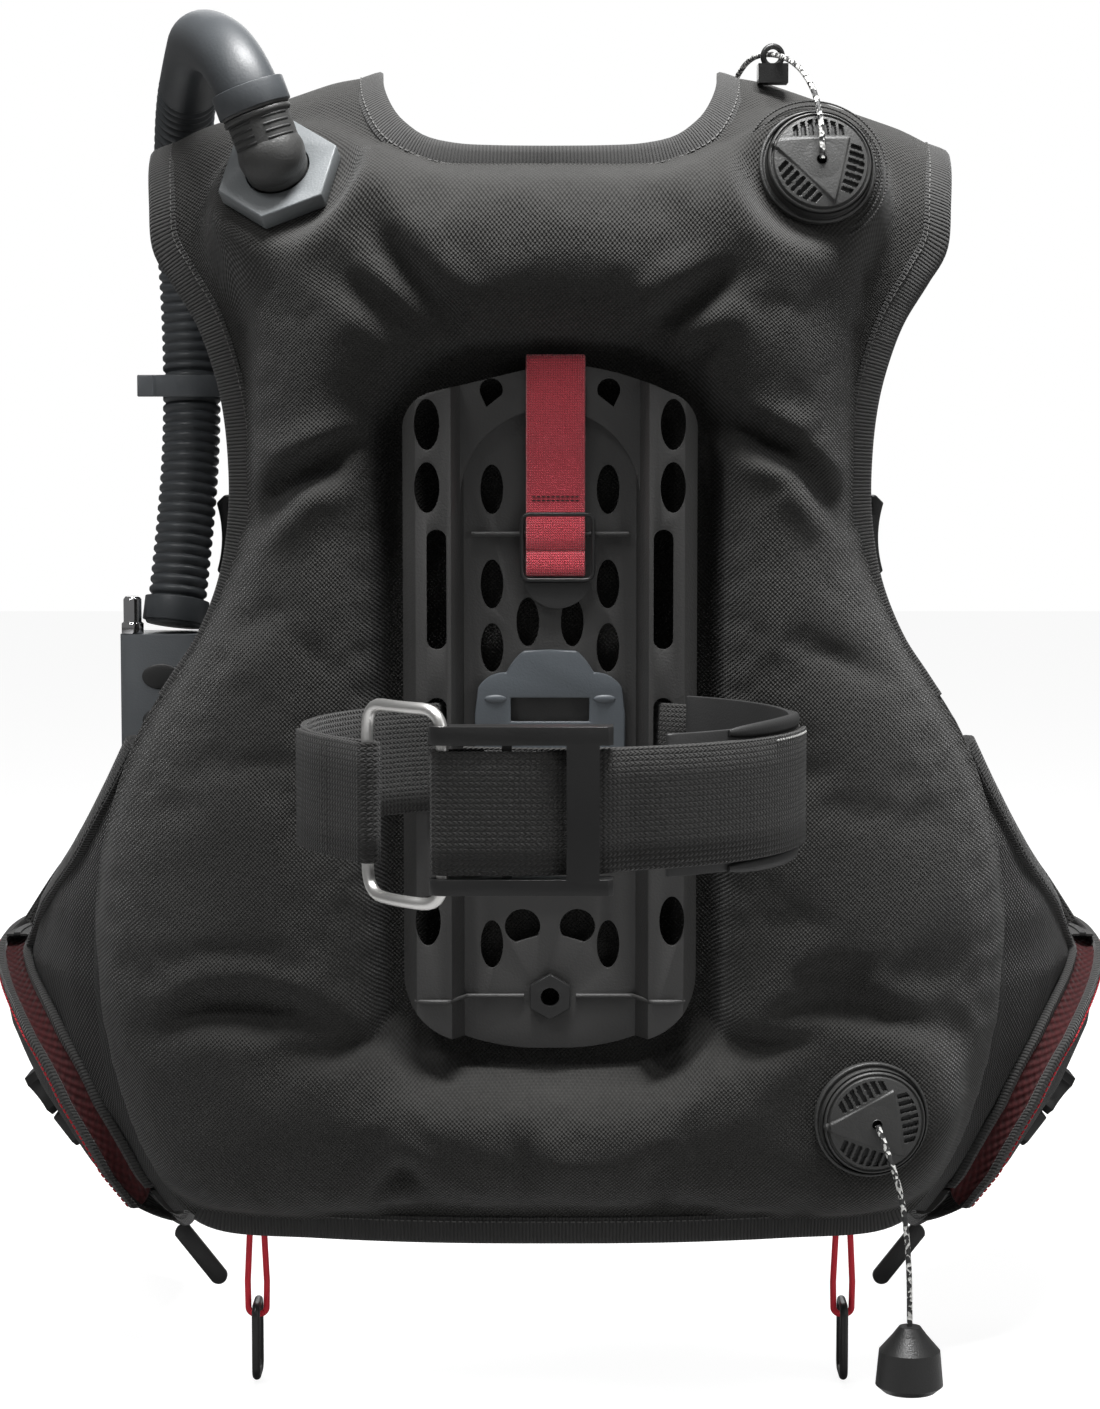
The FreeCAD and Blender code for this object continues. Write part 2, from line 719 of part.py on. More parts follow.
elbow_at, elbow_out = [Vector(*v) for v in VALVES["elbow"]]
elbow_out.normalize()
ELBOW_TOP = Vector(-0.343, 0.005, 0.939).normalize()
ELBOW_LENGTH = 20.0
knuckle = elbow_at + elbow_out * 17.0
neck_start = elbow_at + elbow_out * (ELBOW_RISE - 0.7)
elbow = Part.makeSphere(15.4, knuckle)
elbow = elbow.fuse(Part.makeCylinder(14.5, 10.0, neck_start, elbow_out))
elbow = elbow.fuse(Part.makeCylinder(14.5, ELBOW_LENGTH, knuckle, ELBOW_TOP))
hollow = Part.makeSphere(size("elbow_bore"), knuckle)
hollow = hollow.fuse(Part.makeCylinder(size("elbow_bore"), 20.0, neck_start - elbow_out, elbow_out))
hollow = hollow.fuse(Part.makeCylinder(size("elbow_bore"), ELBOW_LENGTH + 1, knuckle, ELBOW_TOP))
below = Part.makeCylinder(40, 40, neck_start - elbow_out * 40.0, elbow_out)
feature("elbow_body", elbow.cut(hollow).cut(below).removeSplitter())

# ---------------------------------------------------------------- hose, collars and inflator
hose_start = knuckle + ELBOW_TOP * (ELBOW_LENGTH + 0.3)
hose_rise = hose_start + ELBOW_TOP * 46.0
HOSE_ROUTE = [
    tuple(hose_start),
    tuple(hose_rise),
    (-163.0, 160.0, 337.0),
    (-171.0, 207.0, 331.0),
    (-181.0, 250.0, 308.0),
    (-185.0, 281.0, 263.0),
    (-182.0, 286.0, 205.0),
    (-181.0, 277.0, 150.0),
    (-184.0, 266.0, 100.0),
    (-189.0, 258.0, 54.5),
]
feature("hose", tube("hose", HOSE_ROUTE, size("hose_radius")))
collar = Part.makeCylinder(17.0, 11.0, hose_start + ELBOW_TOP * 1.0, ELBOW_TOP)
collar = collar.cut(Part.makeCylinder(size("hose_radius") + 0.2, 13.0, hose_start, ELBOW_TOP))
foot = Vector(*HOSE_ROUTE[-1])
up_hose = (Vector(*HOSE_ROUTE[-2]) - foot).normalize()
cuff = Part.makeCylinder(16.2, 12.0, foot + up_hose * 1.5, up_hose)
cuff = cuff.cut(Part.makeCylinder(size("hose_radius") + 0.2, 14.5, foot + up_hose * 0.5, up_hose))
feature("hose_collars", Part.makeCompound([collar, cuff]))

GRIP_AT = (-194.0, 258.0)
GRIP_TOP = 51.0
grip_place = Placement(Vector(GRIP_AT[0], GRIP_AT[1], GRIP_TOP), Rotation())
grip = new_body("inflator_body", grip_place)
grip_section = sketch_on(grip, "GripSection", "XY_Plane")
half_w, half_d = size("grip_width") / 2, size("grip_depth") / 2
GRIP_ROUND = 8.0
GRIP_CORNER = 2.4
round_x, round_y = half_w - GRIP_ROUND, half_d - GRIP_ROUND
bow_x, bow_y = half_w - GRIP_CORNER, half_d - GRIP_CORNER
outline(grip_section, [(-half_w, -round_y), ("arc", (-bow_x, -bow_y), (-round_x, -half_d)),
                       (round_x, -half_d), ("arc", (bow_x, -bow_y), (half_w, -round_y)),
                       (half_w, round_y), ("arc", (bow_x, bow_y), (round_x, half_d)),
                       (-round_x, half_d), ("arc", (-bow_x, bow_y), (-half_w, round_y))])
pad(grip, grip_section, "Sizes.grip_height", flip=True)
BUTTON_LEVEL = -30.0
inflate_well = sketch_on(grip, "InflateWell", "XZ_Plane", -half_d - 1.0)
circle(inflate_well, 0, BUTTON_LEVEL, size("button_radius") + size("button_gap"))
pocket(grip, inflate_well, 9.0, flip=True)
deflate_well = sketch_on(grip, "DeflateWell", "XY_Plane", -size("grip_height") - 1.0)
circle(deflate_well, 0, 0, size("button_radius") + size("button_gap"))
pocket(grip, deflate_well, 10.5, flip=True)

inflate_at = (GRIP_AT[0], GRIP_AT[1] + half_d - 4.0, GRIP_TOP + BUTTON_LEVEL)
turned("inflate_button", aim(inflate_at, (0, 1, 0)),
       [(0, 0), (8.0, 0), (9.0, 1.0), (9.0, 7.2), (8.0, 8.2), (0, 8.2)])
deflate_at = (GRIP_AT[0], GRIP_AT[1], GRIP_TOP - size("grip_height") + 4.5)
turned("deflate_button", aim(deflate_at, (0, 0, -1)), [(0, 0), (9.0, 0), (9.0, 8.4), (8.0, 9.4), (0, 9.4)])

MOUTH_OUT = Vector(1, 0, 0)
mouth_at = Vector(GRIP_AT[0] + half_w + 0.3, GRIP_AT[1], GRIP_TOP - 96.0)
mouth = Part.makeCylinder(11.0, 14.0, mouth_at, MOUTH_OUT)
lip = Part.makeBox(9, 32, 22, Vector(mouth_at.x + 14, mouth_at.y - 16, mouth_at.z - 11))
lip = lip.makeFillet(4.0, [e for e in lip.Edges if abs(e.tangentAt(e.FirstParameter).x) > 0.9])
throat = Part.makeCylinder(7.5, 40, mouth_at - MOUTH_OUT * 5, MOUTH_OUT)
feature("mouthpiece", mouth.fuse(lip).cut(throat).removeSplitter())

NIPPLE_AT = (-208.6, 247.0, GRIP_TOP + 0.3)
nipple_place = Placement(Vector(*NIPPLE_AT), Rotation())
turned("lp_nipple", nipple_place, [(0, 0), (5.5, 0), (5.5, 5.0), (size("nipple_radius"), 5.6),
                                   (size("nipple_radius"), 17.0), (3.4, 18.5), (0, 18.5)])

CLIP_AT = Vector(-181.6, 281.6, 169.0)
clip = Part.makeCylinder(19.6, 11.0, CLIP_AT).cut(Part.makeCylinder(16.6, 11.0, CLIP_AT))
ear = Part.makeBox(10, 12, 11, Vector(CLIP_AT.x - 27, CLIP_AT.y - 6, CLIP_AT.z))
ear = ear.cut(Part.makeCylinder(17.0, 11.0, CLIP_AT))
feature("hose_clip", clip.fuse(ear).removeSplitter())

# ---------------------------------------------------------------- dump cords and knobs
REAR_CORD = [
    (149.5, 80.0, -162.4),
    (154.5, 75.5, -175.0),
    (161.0, 74.0, -196.0),
    (164.0, 74.0, -225.0),
    (164.5, 74.0, -254.0),
]
SHOULDER_CORD = [
    (122.7, 98.3, 275.9),
    (122.5, 98.0, 292.0),
    (119.5, 112.0, 309.0),
    (113.0, 140.0, 323.0),
    (103.5, 174.0, 330.5),
    (94.0, 210.0, 330.5),
    (87.0, 246.0, 315.0),
    (84.0, 271.0, 286.0),
    (83.0, 279.5, 250.0),
    (83.0, 280.5, 217.0),
]
feature("rear_dump_cord", tube("rear_dump_cord", REAR_CORD, size("cord_radius")))
feature("shoulder_dump_cord", tube("shoulder_dump_cord", SHOULDER_CORD, size("cord_radius")))
KNOB_PROFILE = [(0, 0), (5.0, 0), (8.0, -4), (14.0, -11), (15.5, -27), (12.0, -30), (0, -30)]
for name, route in (("rear_dump_knob", REAR_CORD), ("shoulder_dump_knob", SHOULDER_CORD)):
    top = Vector(*route[-1]) - Vector(0, 0, 0.3)
    turned(name, Placement(top, Rotation()), KNOB_PROFILE)

# small cord guide on the shoulder's top
GUIDE_LOOP = Vector(104.6, 170.0, 328.3)
guide_ring = Part.makeTorus(4.6, 1.4, GUIDE_LOOP, Vector(-0.26, 0.95, 0.15))
guide_foot = Part.makeBox(14, 14, 9.0, Vector(GUIDE_LOOP.x - 7, GUIDE_LOOP.y - 7, 315.5))
feature("cord_guide", guide_ring.fuse(guide_foot))

# ---------------------------------------------------------------- shoulder buckles and webbing
BUCKLE_AT = (146.0, 281.5)
SOCKET_SPAN = (77.0, 119.4)
PLUG_LENGTH = 32.0


def add_socket(label, place, width, thick, length, inlet):
    """Side-release buckle half with a mouth at its foot and a strap bar at its top."""
    new = new_body(label, place)
    face = sketch_on(new, label + "Face", "XZ_Plane", -thick / 2)
    half = width / 2
    waist = length * 0.45
    left_side = ("arc", (-half + 2.5, waist), (-half, length - 4))
    right_side = ("arc", (half - 2.5, waist), (half, 4))
    outline(face, [(-half, 4), left_side, (-half + 4, length), (half - 4, length), (half, length - 4),
                   right_side, (half - 4, 0), (-half + 4, 0)])
    box_outline(face, 0, length - 7, width - 12, 5.0)
    pad(new, face, thick)
    mouth = sketch_on(new, label + "Mouth", "XY_Plane")
    box_outline(mouth, 0, 0, width - 8, thick - 4.4)
    pocket(new, mouth, inlet, flip=True)
    return new


def add_plug(label, place, width, thick, length, reach):
    """Side-release plug: a strap bar below and three prongs that enter the socket."""
    new = new_body(label, place)
    face = sketch_on(new, label + "Face", "XZ_Plane", -thick / 2)
    half = width / 2
    outline(face, [(-half + 3, -length), (half - 3, -length), (half, -length + 3), (half, -1), (-half, -1),
                   (-half, -length + 3)])
    box_outline(face, 0, -length + 8, width - 12, 5.0)
    pad(new, face, thick)
    prongs = sketch_on(new, label + "Prongs", "XZ_Plane", -(thick - 6.4) / 2)
    arm = half - 7.0
    box_outline(prongs, 0, reach / 2 - 1.5, 5.0, reach + 1.0)
    for side in (-1, 1):
        box_outline(prongs, side * arm, reach / 2 - 1.5, 4.5, reach + 1.0)
    pad(new, prongs, thick - 6.4)
    return new


for side, hand in ((-1, "left"), (1, "right")):
    place = Placement(Vector(side * BUCKLE_AT[0], BUCKLE_AT[1], SOCKET_SPAN[0]), Rotation())
    height = SOCKET_SPAN[1] - SOCKET_SPAN[0]
    wide, deep = size("buckle_width"), size("buckle_thick")
    add_socket(f"shoulder_buckle_socket_{hand}", place, wide, deep, height, 24.0)
    add_plug(f"shoulder_buckle_plug_{hand}", place, wide, deep, PLUG_LENGTH, 22.0)

# webbing lies on the plug's outer face, bends below it and runs on towards the wing
WEB_TOP = (BUCKLE_AT[0], 60.0)
WEB_BEND = (BUCKLE_AT[0], 20.0)
WEB_FOOT = (214.0, -54.0)
WEB_PLAY = 0.4
half_web = size("webbing_width") / 2
web_turn = math.atan2(WEB_FOOT[0] - WEB_BEND[0], WEB_BEND[1] - WEB_FOOT[1])
mitre = half_web * math.tan(web_turn / 2)
across = (math.cos(web_turn) * half_web, math.sin(web_turn) * half_web)
web_outline = [(WEB_TOP[0] - half_web, WEB_TOP[1]), (WEB_TOP[0] + half_web, WEB_TOP[1]),
               (WEB_BEND[0] + half_web, WEB_BEND[1] + mitre),
               (WEB_FOOT[0] + across[0], WEB_FOOT[1] + across[1]),
               (WEB_FOOT[0] - across[0], WEB_FOOT[1] - across[1]),
               (WEB_BEND[0] - half_web, WEB_BEND[1] - mitre)]
web_level = BUCKLE_AT[1] + size("buckle_thick") / 2 + WEB_PLAY
webbing = prism(web_outline, web_level, web_level + size("webbing_thick"))
feature("shoulder_webbing_right", webbing)
feature("shoulder_webbing_left", other_side(webbing))

# ---------------------------------------------------------------- wings and pockets
# each level: height, then the outer face's start, middle and end in plan
WING_LEVELS = [
    (4, (-206, 200), (-212, 210), (-216, 222)),
    (-47, (-220, 200), (-238, 236), (-242, 290)),
    (-85, (-224, 199), (-256, 256), (-252, 340)),
    (-116, (-225, 198), (-268, 280), (-250, 392)),
    (-150, (-222, 198), (-262, 280), (-243, 395)),
    (-180, (-215, 198), (-246, 268), (-228, 385)),
    (-213, (-201, 198), (-218, 245), (-198, 345)),
    (-230, (-188, 197), (-197, 225), (-182, 300)),
]
POCKET_FOOT_LEVEL = (-248, (-166, 197), (-174, 225), (-164, 290))
POCKET_LEVELS = WING_LEVELS[2:] + [POCKET_FOOT_LEVEL]
POCKET_STARTS = [0.5, 0.42, 0.2, 0.12, 0.08, 0.08, 0.1]
POCKET_STOP = 0.97


def plan_band(level, inward, outward, start, stop):
    """Closed plan outline between two arcs beside the outer face, at one height."""
    height, first, middle, last = level
    ends = [Vector(*p, height) for p in (first, middle, last)]
    circle_edge = Part.Arc(*ends).toShape()
    centre, radius = circle_edge.Curve.Center, circle_edge.Curve.Radius
    angles = [math.atan2(p.y - centre.y, p.x - centre.x) % (2 * math.pi) for p in ends]
    span = angles[2] - angles[0]
    corners = []
    for reach in (radius - inward, radius + outward):
        row = []
        for part in (start, (start + stop) / 2, stop):
            angle = angles[0] + span * part
            row.append(centre + Vector(reach * math.cos(angle), reach * math.sin(angle), 0))
        corners.append(row)
    inner, outer = corners
    return Part.Wire([
        Part.Arc(*inner).toShape(),
        Part.LineSegment(inner[2], outer[2]).toShape(),
        Part.Arc(outer[2], outer[1], outer[0]).toShape(),
        Part.LineSegment(outer[0], inner[0]).toShape(),
    ])


wing = Part.makeLoft([plan_band(level, size("wing_thick"), 0, 0, 1) for level in WING_LEVELS], True, True)
pouch_out = size("pocket_gap") + size("pocket_thick")
pouch_levels = [plan_band(level, -size("pocket_gap"), pouch_out, start, POCKET_STOP)
                for level, start in zip(POCKET_LEVELS, POCKET_STARTS)]
pouch = Part.makeLoft(pouch_levels, True, True)
feature("wing_panel_left", wing)
feature("wing_panel_right", other_side(wing))
feature("pocket_left", pouch)
feature("pocket_right", other_side(pouch))

ZIP_AT = (-290.8, 288.0, -112.0)
PULL_AT = (-189.0, 243.0, -249.0)
SIDE_BUCKLE_AT = (-257.0, 318.0, -203.0)
SIDE_BUCKLE_LEAN = -37.0
for side, hand in ((1, "left"), (-1, "right")):
    place = Placement(Vector(side * ZIP_AT[0], ZIP_AT[1], ZIP_AT[2]), Rotation())
    zipper = new_body(f"zip_slider_{hand}", place)
    zip_face = sketch_on(zipper, f"ZipSliderFace_{hand}", "XZ_Plane")
    box_outline(zip_face, 0, 0, 2.6, 8.0)
    pad(zipper, zip_face, 11.0, flip=True)
    zip_pull = sketch_on(zipper, f"ZipPull_{hand}", "XZ_Plane", -3.0)
    box_outline(zip_pull, 0, -15.0, 1.4, 23.0)
    pad(zipper, zip_pull, 5.0, flip=True)

    lean = Rotation(Vector(0, 1, 0), side * -38.0)
    tab = new_body(f"pull_tab_{hand}", Placement(Vector(side * PULL_AT[0], PULL_AT[1], PULL_AT[2]), lean))
    tab_face = sketch_on(tab, f"PullTabFace_{hand}", "XZ_Plane")
    half_tab = size("tab_width") / 2
    length = size("tab_length")
    tip = ("arc", (0, -length - 4), (half_tab, -length))
    root = ("arc", (0, -1), (-half_tab, -4))
    outline(tab_face, [(-half_tab, -4), (-half_tab, -length), tip, (half_tab, -4), root])
    pad(tab, tab_face, 3.4, flip=True)

    lean = Rotation(Vector(0, 1, 0), side * SIDE_BUCKLE_LEAN) * Rotation(Vector(0, 0, 1), 90.0)
    at = Vector(side * SIDE_BUCKLE_AT[0], SIDE_BUCKLE_AT[1], SIDE_BUCKLE_AT[2])
    place = Placement(at, lean)
    add_socket(f"pocket_buckle_socket_{hand}", place, 30.0, 10.0, 24.0, 15.0)
    add_plug(f"pocket_buckle_plug_{hand}", place, 30.0, 10.0, 21.0, 13.0)

# ---------------------------------------------------------------- hem loops and rings
HEM_LOOP_AT = (140.5, 152.0, -229.0)
HEM_RING_TOP = -264.5
HEM_RING_HALF = 17.0
HEM_RING_WIDE = 10.0
loops = []
for side, hand in ((-1, "left"), (1, "right")):
    x = side * HEM_LOOP_AT[0]
    y = HEM_LOOP_AT[1]
    loop_path = [(x - 3.4, y, HEM_LOOP_AT[2]), (x - 4.6, y, -254.0), (x - 4.3, y, HEM_RING_TOP - 5.4),
                 (x + 4.3, y, HEM_RING_TOP - 5.4), (x + 4.6, y, -254.0), (x + 3.4, y, HEM_LOOP_AT[2])]
    loops.append(tube(f"hem_loop_{hand}", loop_path, 1.5, 3.4))
    ring_half = [
        (x, y, HEM_RING_TOP),
        (x, y + HEM_RING_WIDE, HEM_RING_TOP),
        (x, y + HEM_RING_WIDE, HEM_RING_TOP - 2 * HEM_RING_HALF),
        (x, y, HEM_RING_TOP - 2 * HEM_RING_HALF),
    ]
    front = tube(f"hem_ring_{hand}", ring_half, 2.0, 7.6)
    back = front.mirror(Vector(x, y, 0), Vector(0, 1, 0))
    feature(f"hem_ring_{hand}", front.fuse(back).removeSplitter())
feature("hem_loops", Part.makeCompound(loops))

# ---------------------------------------------------------------- check and write every sub-part
doc.recompute()
for obj in doc.Objects:
    if "Invalid" in obj.State or "Error" in obj.State:
        raise RuntimeError(f"{obj.Label} failed: {obj.State}")
for node in nodes:
    shape = node.Shape
    if shape.isNull() or not shape.isValid():
        raise RuntimeError(f"{node.Label} has no valid shape")
for node in nodes:
    box = node.Shape.BoundBox
    print(f"{node.Label}: {len(node.Shape.Solids)} solid(s), x {box.XMin:.0f} to {box.XMax:.0f},",
          f"y {box.YMin:.0f} to {box.YMax:.0f}, z {box.ZMin:.0f} to {box.ZMax:.0f}")
    node.Shape.exportStep(f"parts/{node.Label}.step")
print(len(nodes), "sub-parts written")
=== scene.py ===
# %% [markdown]
# # A diver's buoyancy vest
# The vest is a flat bag of coated nylon that holds air behind the diver's back. A moulded plate in its
# middle carries the tank, a webbing band with a cam lever grips it, and valves, a ribbed hose, two side
# wings with pockets and some buckles do the rest. The lengths below are millimetres until a point is
# placed, and metres from then on.

# %% Load the frame
import bmesh
import bpy
import json
import math
import numpy as np
from mathutils import Matrix, Vector, noise
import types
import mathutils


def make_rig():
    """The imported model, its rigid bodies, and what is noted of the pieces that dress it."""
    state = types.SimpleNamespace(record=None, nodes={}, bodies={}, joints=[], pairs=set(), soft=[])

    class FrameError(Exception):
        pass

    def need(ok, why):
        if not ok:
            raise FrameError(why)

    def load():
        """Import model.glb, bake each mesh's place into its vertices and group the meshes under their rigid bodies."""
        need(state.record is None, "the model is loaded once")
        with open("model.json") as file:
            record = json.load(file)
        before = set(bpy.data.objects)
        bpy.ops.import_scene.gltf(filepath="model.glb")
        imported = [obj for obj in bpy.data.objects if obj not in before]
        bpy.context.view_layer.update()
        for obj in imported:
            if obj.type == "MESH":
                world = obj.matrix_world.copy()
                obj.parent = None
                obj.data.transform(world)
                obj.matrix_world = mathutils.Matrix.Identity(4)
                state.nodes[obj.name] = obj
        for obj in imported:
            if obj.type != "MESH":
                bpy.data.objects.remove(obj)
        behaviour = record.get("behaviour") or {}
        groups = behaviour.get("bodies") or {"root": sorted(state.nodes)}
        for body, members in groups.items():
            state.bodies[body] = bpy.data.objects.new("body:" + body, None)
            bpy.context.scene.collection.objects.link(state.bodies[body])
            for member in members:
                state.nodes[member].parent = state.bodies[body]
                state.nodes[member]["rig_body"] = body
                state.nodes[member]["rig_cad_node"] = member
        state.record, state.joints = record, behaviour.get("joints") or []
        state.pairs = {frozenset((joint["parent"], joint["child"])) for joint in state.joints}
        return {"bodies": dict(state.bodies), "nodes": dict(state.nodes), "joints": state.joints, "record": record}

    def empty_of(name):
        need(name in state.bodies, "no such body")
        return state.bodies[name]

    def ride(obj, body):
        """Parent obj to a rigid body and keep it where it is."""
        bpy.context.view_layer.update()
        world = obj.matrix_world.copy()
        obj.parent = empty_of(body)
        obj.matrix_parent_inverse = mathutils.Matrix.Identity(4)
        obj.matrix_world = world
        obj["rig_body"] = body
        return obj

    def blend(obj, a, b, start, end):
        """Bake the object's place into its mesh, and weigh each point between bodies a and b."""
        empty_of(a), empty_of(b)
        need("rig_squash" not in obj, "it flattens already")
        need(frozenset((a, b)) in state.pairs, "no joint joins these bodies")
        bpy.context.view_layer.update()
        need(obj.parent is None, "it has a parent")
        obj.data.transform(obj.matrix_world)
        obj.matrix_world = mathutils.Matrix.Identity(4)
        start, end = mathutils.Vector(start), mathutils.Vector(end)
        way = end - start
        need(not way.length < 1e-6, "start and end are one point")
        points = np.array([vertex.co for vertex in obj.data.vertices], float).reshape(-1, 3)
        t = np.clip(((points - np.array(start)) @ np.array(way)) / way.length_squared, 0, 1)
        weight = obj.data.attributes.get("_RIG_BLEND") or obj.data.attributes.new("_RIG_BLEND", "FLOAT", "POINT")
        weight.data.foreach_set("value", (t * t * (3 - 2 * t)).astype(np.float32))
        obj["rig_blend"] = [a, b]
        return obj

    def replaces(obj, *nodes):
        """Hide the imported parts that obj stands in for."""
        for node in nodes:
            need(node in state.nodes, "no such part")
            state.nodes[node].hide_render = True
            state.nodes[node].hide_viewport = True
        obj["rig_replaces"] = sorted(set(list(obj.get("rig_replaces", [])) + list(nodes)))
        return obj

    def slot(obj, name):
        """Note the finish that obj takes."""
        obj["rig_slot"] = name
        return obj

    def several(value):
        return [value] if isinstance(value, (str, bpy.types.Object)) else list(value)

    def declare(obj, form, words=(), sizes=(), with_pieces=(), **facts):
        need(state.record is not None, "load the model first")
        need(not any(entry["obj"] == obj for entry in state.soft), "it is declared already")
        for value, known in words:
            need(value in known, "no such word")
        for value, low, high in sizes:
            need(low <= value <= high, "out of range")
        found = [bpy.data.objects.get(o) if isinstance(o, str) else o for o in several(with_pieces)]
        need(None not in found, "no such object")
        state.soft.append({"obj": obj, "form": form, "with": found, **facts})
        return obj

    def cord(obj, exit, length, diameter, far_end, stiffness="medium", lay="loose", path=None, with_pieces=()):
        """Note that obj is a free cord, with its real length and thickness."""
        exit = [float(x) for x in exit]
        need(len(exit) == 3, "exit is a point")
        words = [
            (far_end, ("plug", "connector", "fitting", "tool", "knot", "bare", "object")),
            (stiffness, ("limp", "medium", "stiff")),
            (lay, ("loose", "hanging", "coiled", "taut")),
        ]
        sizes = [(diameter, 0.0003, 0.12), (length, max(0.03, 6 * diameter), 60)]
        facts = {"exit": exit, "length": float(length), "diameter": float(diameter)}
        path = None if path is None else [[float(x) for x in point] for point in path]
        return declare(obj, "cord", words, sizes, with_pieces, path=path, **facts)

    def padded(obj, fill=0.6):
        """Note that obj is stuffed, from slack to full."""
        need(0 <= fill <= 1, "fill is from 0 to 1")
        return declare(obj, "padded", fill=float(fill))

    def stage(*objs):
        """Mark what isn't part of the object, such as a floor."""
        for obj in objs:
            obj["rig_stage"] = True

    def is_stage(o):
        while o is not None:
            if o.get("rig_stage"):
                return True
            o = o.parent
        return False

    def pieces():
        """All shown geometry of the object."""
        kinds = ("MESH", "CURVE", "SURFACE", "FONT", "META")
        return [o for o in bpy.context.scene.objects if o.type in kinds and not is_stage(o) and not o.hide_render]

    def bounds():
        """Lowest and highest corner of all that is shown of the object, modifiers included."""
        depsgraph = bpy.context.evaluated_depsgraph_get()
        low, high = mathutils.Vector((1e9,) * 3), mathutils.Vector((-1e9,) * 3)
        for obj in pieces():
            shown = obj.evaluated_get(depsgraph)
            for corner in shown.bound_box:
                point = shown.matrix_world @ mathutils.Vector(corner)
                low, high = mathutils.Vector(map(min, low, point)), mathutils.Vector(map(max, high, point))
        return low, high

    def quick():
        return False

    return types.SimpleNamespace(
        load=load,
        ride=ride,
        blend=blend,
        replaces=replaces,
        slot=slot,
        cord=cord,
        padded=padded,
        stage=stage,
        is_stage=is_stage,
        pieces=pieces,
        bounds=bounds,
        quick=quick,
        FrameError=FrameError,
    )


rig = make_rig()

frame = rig.load()
CAD_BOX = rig.bounds()
MM = 0.001
HANDS = ((-1, "left"), (1, "right"))
scene = bpy.context.scene
print("bodies", len(frame["bodies"]), "nodes", len(frame["nodes"]))

# %% [markdown]
# ## Camera and light
# The vest is looked at from behind, a little above the middle of the back plate, through a long lens.
# A white room and three large soft lamps give a fabric its soft rolls of light, and a pale floor takes
# a faint shadow.

# %% Camera
CAMERA_AT = Vector((0.0, -1.4406, 0.169))
CAMERA_TARGET = Vector((0.0, 0.109, 0.028))
LENS = 86.43


def place_camera():
    """One camera with a long lens that looks at the back plate."""
    data = bpy.data.cameras.new("vest_camera")
    data.lens = LENS
    data.sensor_width = 36.0
    data.clip_start, data.clip_end = 0.05, 20.0
    camera = bpy.data.objects.new("vest_camera", data)
    camera.location = CAMERA_AT
    camera.rotation_euler = (CAMERA_TARGET - CAMERA_AT).to_track_quat("-Z", "Y").to_euler()
    scene.collection.objects.link(camera)
    scene.camera = camera
    print("camera", (CAMERA_TARGET - CAMERA_AT).length, "m from the plate")


place_camera()

# %% Lamps and the white room


def soft_lamp(name, at, target, width, height, power):
    """A rectangular lamp that faces a point."""
    data = bpy.data.lights.new(name, "AREA")
    data.shape = "RECTANGLE"
    data.size, data.size_y = width, height
    data.energy = power
    lamp = bpy.data.objects.new(name, data)
    lamp.location = at
    lamp.rotation_euler = (Vector(target) - Vector(at)).to_track_quat("-Z", "Y").to_euler()
    scene.collection.objects.link(lamp)
    return lamp


soft_lamp("key_lamp", (-0.9, -0.9, 1.7), (0, 0.1, 0.05), 0.4, 0.4, 11)
soft_lamp("fill_lamp", (1.5, -1.0, 0.7), (0, 0.1, 0), 0.7, 1.2, 5)
soft_lamp("top_lamp", (0.1, -0.12, 1.4), (0, 0.06, 0.1), 0.8, 0.3, 52)
soft_lamp("back_lamp", (0.0, 1.9, 0.8), (0, 0.1, 0), 1.2, 1.0, 10)
ROOM_GLOW = 0.17


def white_room():
    """A white backdrop that lights the vest more softly than it looks."""
    room = bpy.data.worlds.new("white_room")
    room.use_nodes = True
    tree = room.node_tree
    seen = add_room_node(tree, "LightPath")
    strength = add_room_node(tree, "MapRange")
    strength.inputs["To Min"].default_value = ROOM_GLOW
    strength.inputs["To Max"].default_value = 1.0
    tree.links.new(seen.outputs["Is Camera Ray"], strength.inputs["Value"])
    tree.links.new(strength.outputs[0], tree.nodes["Background"].inputs["Strength"])
    tree.nodes["Background"].inputs["Color"].default_value = (1.0, 1.0, 1.0, 1.0)
    scene.world = room


def add_room_node(tree, kind):
    """One node of the room's light."""
    return tree.nodes.new("ShaderNode" + kind)


white_room()
scene.view_settings.view_transform = "Standard"
print("lamps", len([o for o in scene.objects if o.type == "LIGHT"]))

# %% [markdown]
# ## Finishes
# Every finish is made of the same few effects: a woven cloth, a ribbed tape, a strap's chevrons, the fine
# grain of moulded plastic and a slow change of tone. Each effect is a shader group, built once, which
# gives heights and masks. The shader itself stays in the material.

# %% Helpers for shader trees


def add_node(tree, kind, sockets=(), **settings):
    """Add a node, set its properties, and fill or link its input sockets."""
    new = tree.nodes.new("ShaderNode" + kind)
    for key, value in settings.items():
        setattr(new, key, value)
    for socket, value in sockets:
        if isinstance(value, bpy.types.NodeSocket):
            tree.links.new(value, new.inputs[socket])
        else:
            new.inputs[socket].default_value = value
    return new


def maths(tree, operation, *values):
    """The output of one Math node."""
    return add_node(tree, "Math", list(enumerate(values)), operation=operation).outputs[0]


def new_group(name, inputs, outputs):
    """An empty shader group with named float or vector sockets, and its input and output nodes."""
    group = bpy.data.node_groups.new(name, "ShaderNodeTree")
    for label, value in inputs:
        kind = "NodeSocketVector" if value is None else "NodeSocketFloat"
        socket = group.interface.new_socket(label, in_out="INPUT", socket_type=kind)
        if value is not None:
            socket.default_value = value
    for label in outputs:
        group.interface.new_socket(label, in_out="OUTPUT", socket_type="NodeSocketFloat")
    return group, group.nodes.new("NodeGroupInput"), group.nodes.new("NodeGroupOutput")


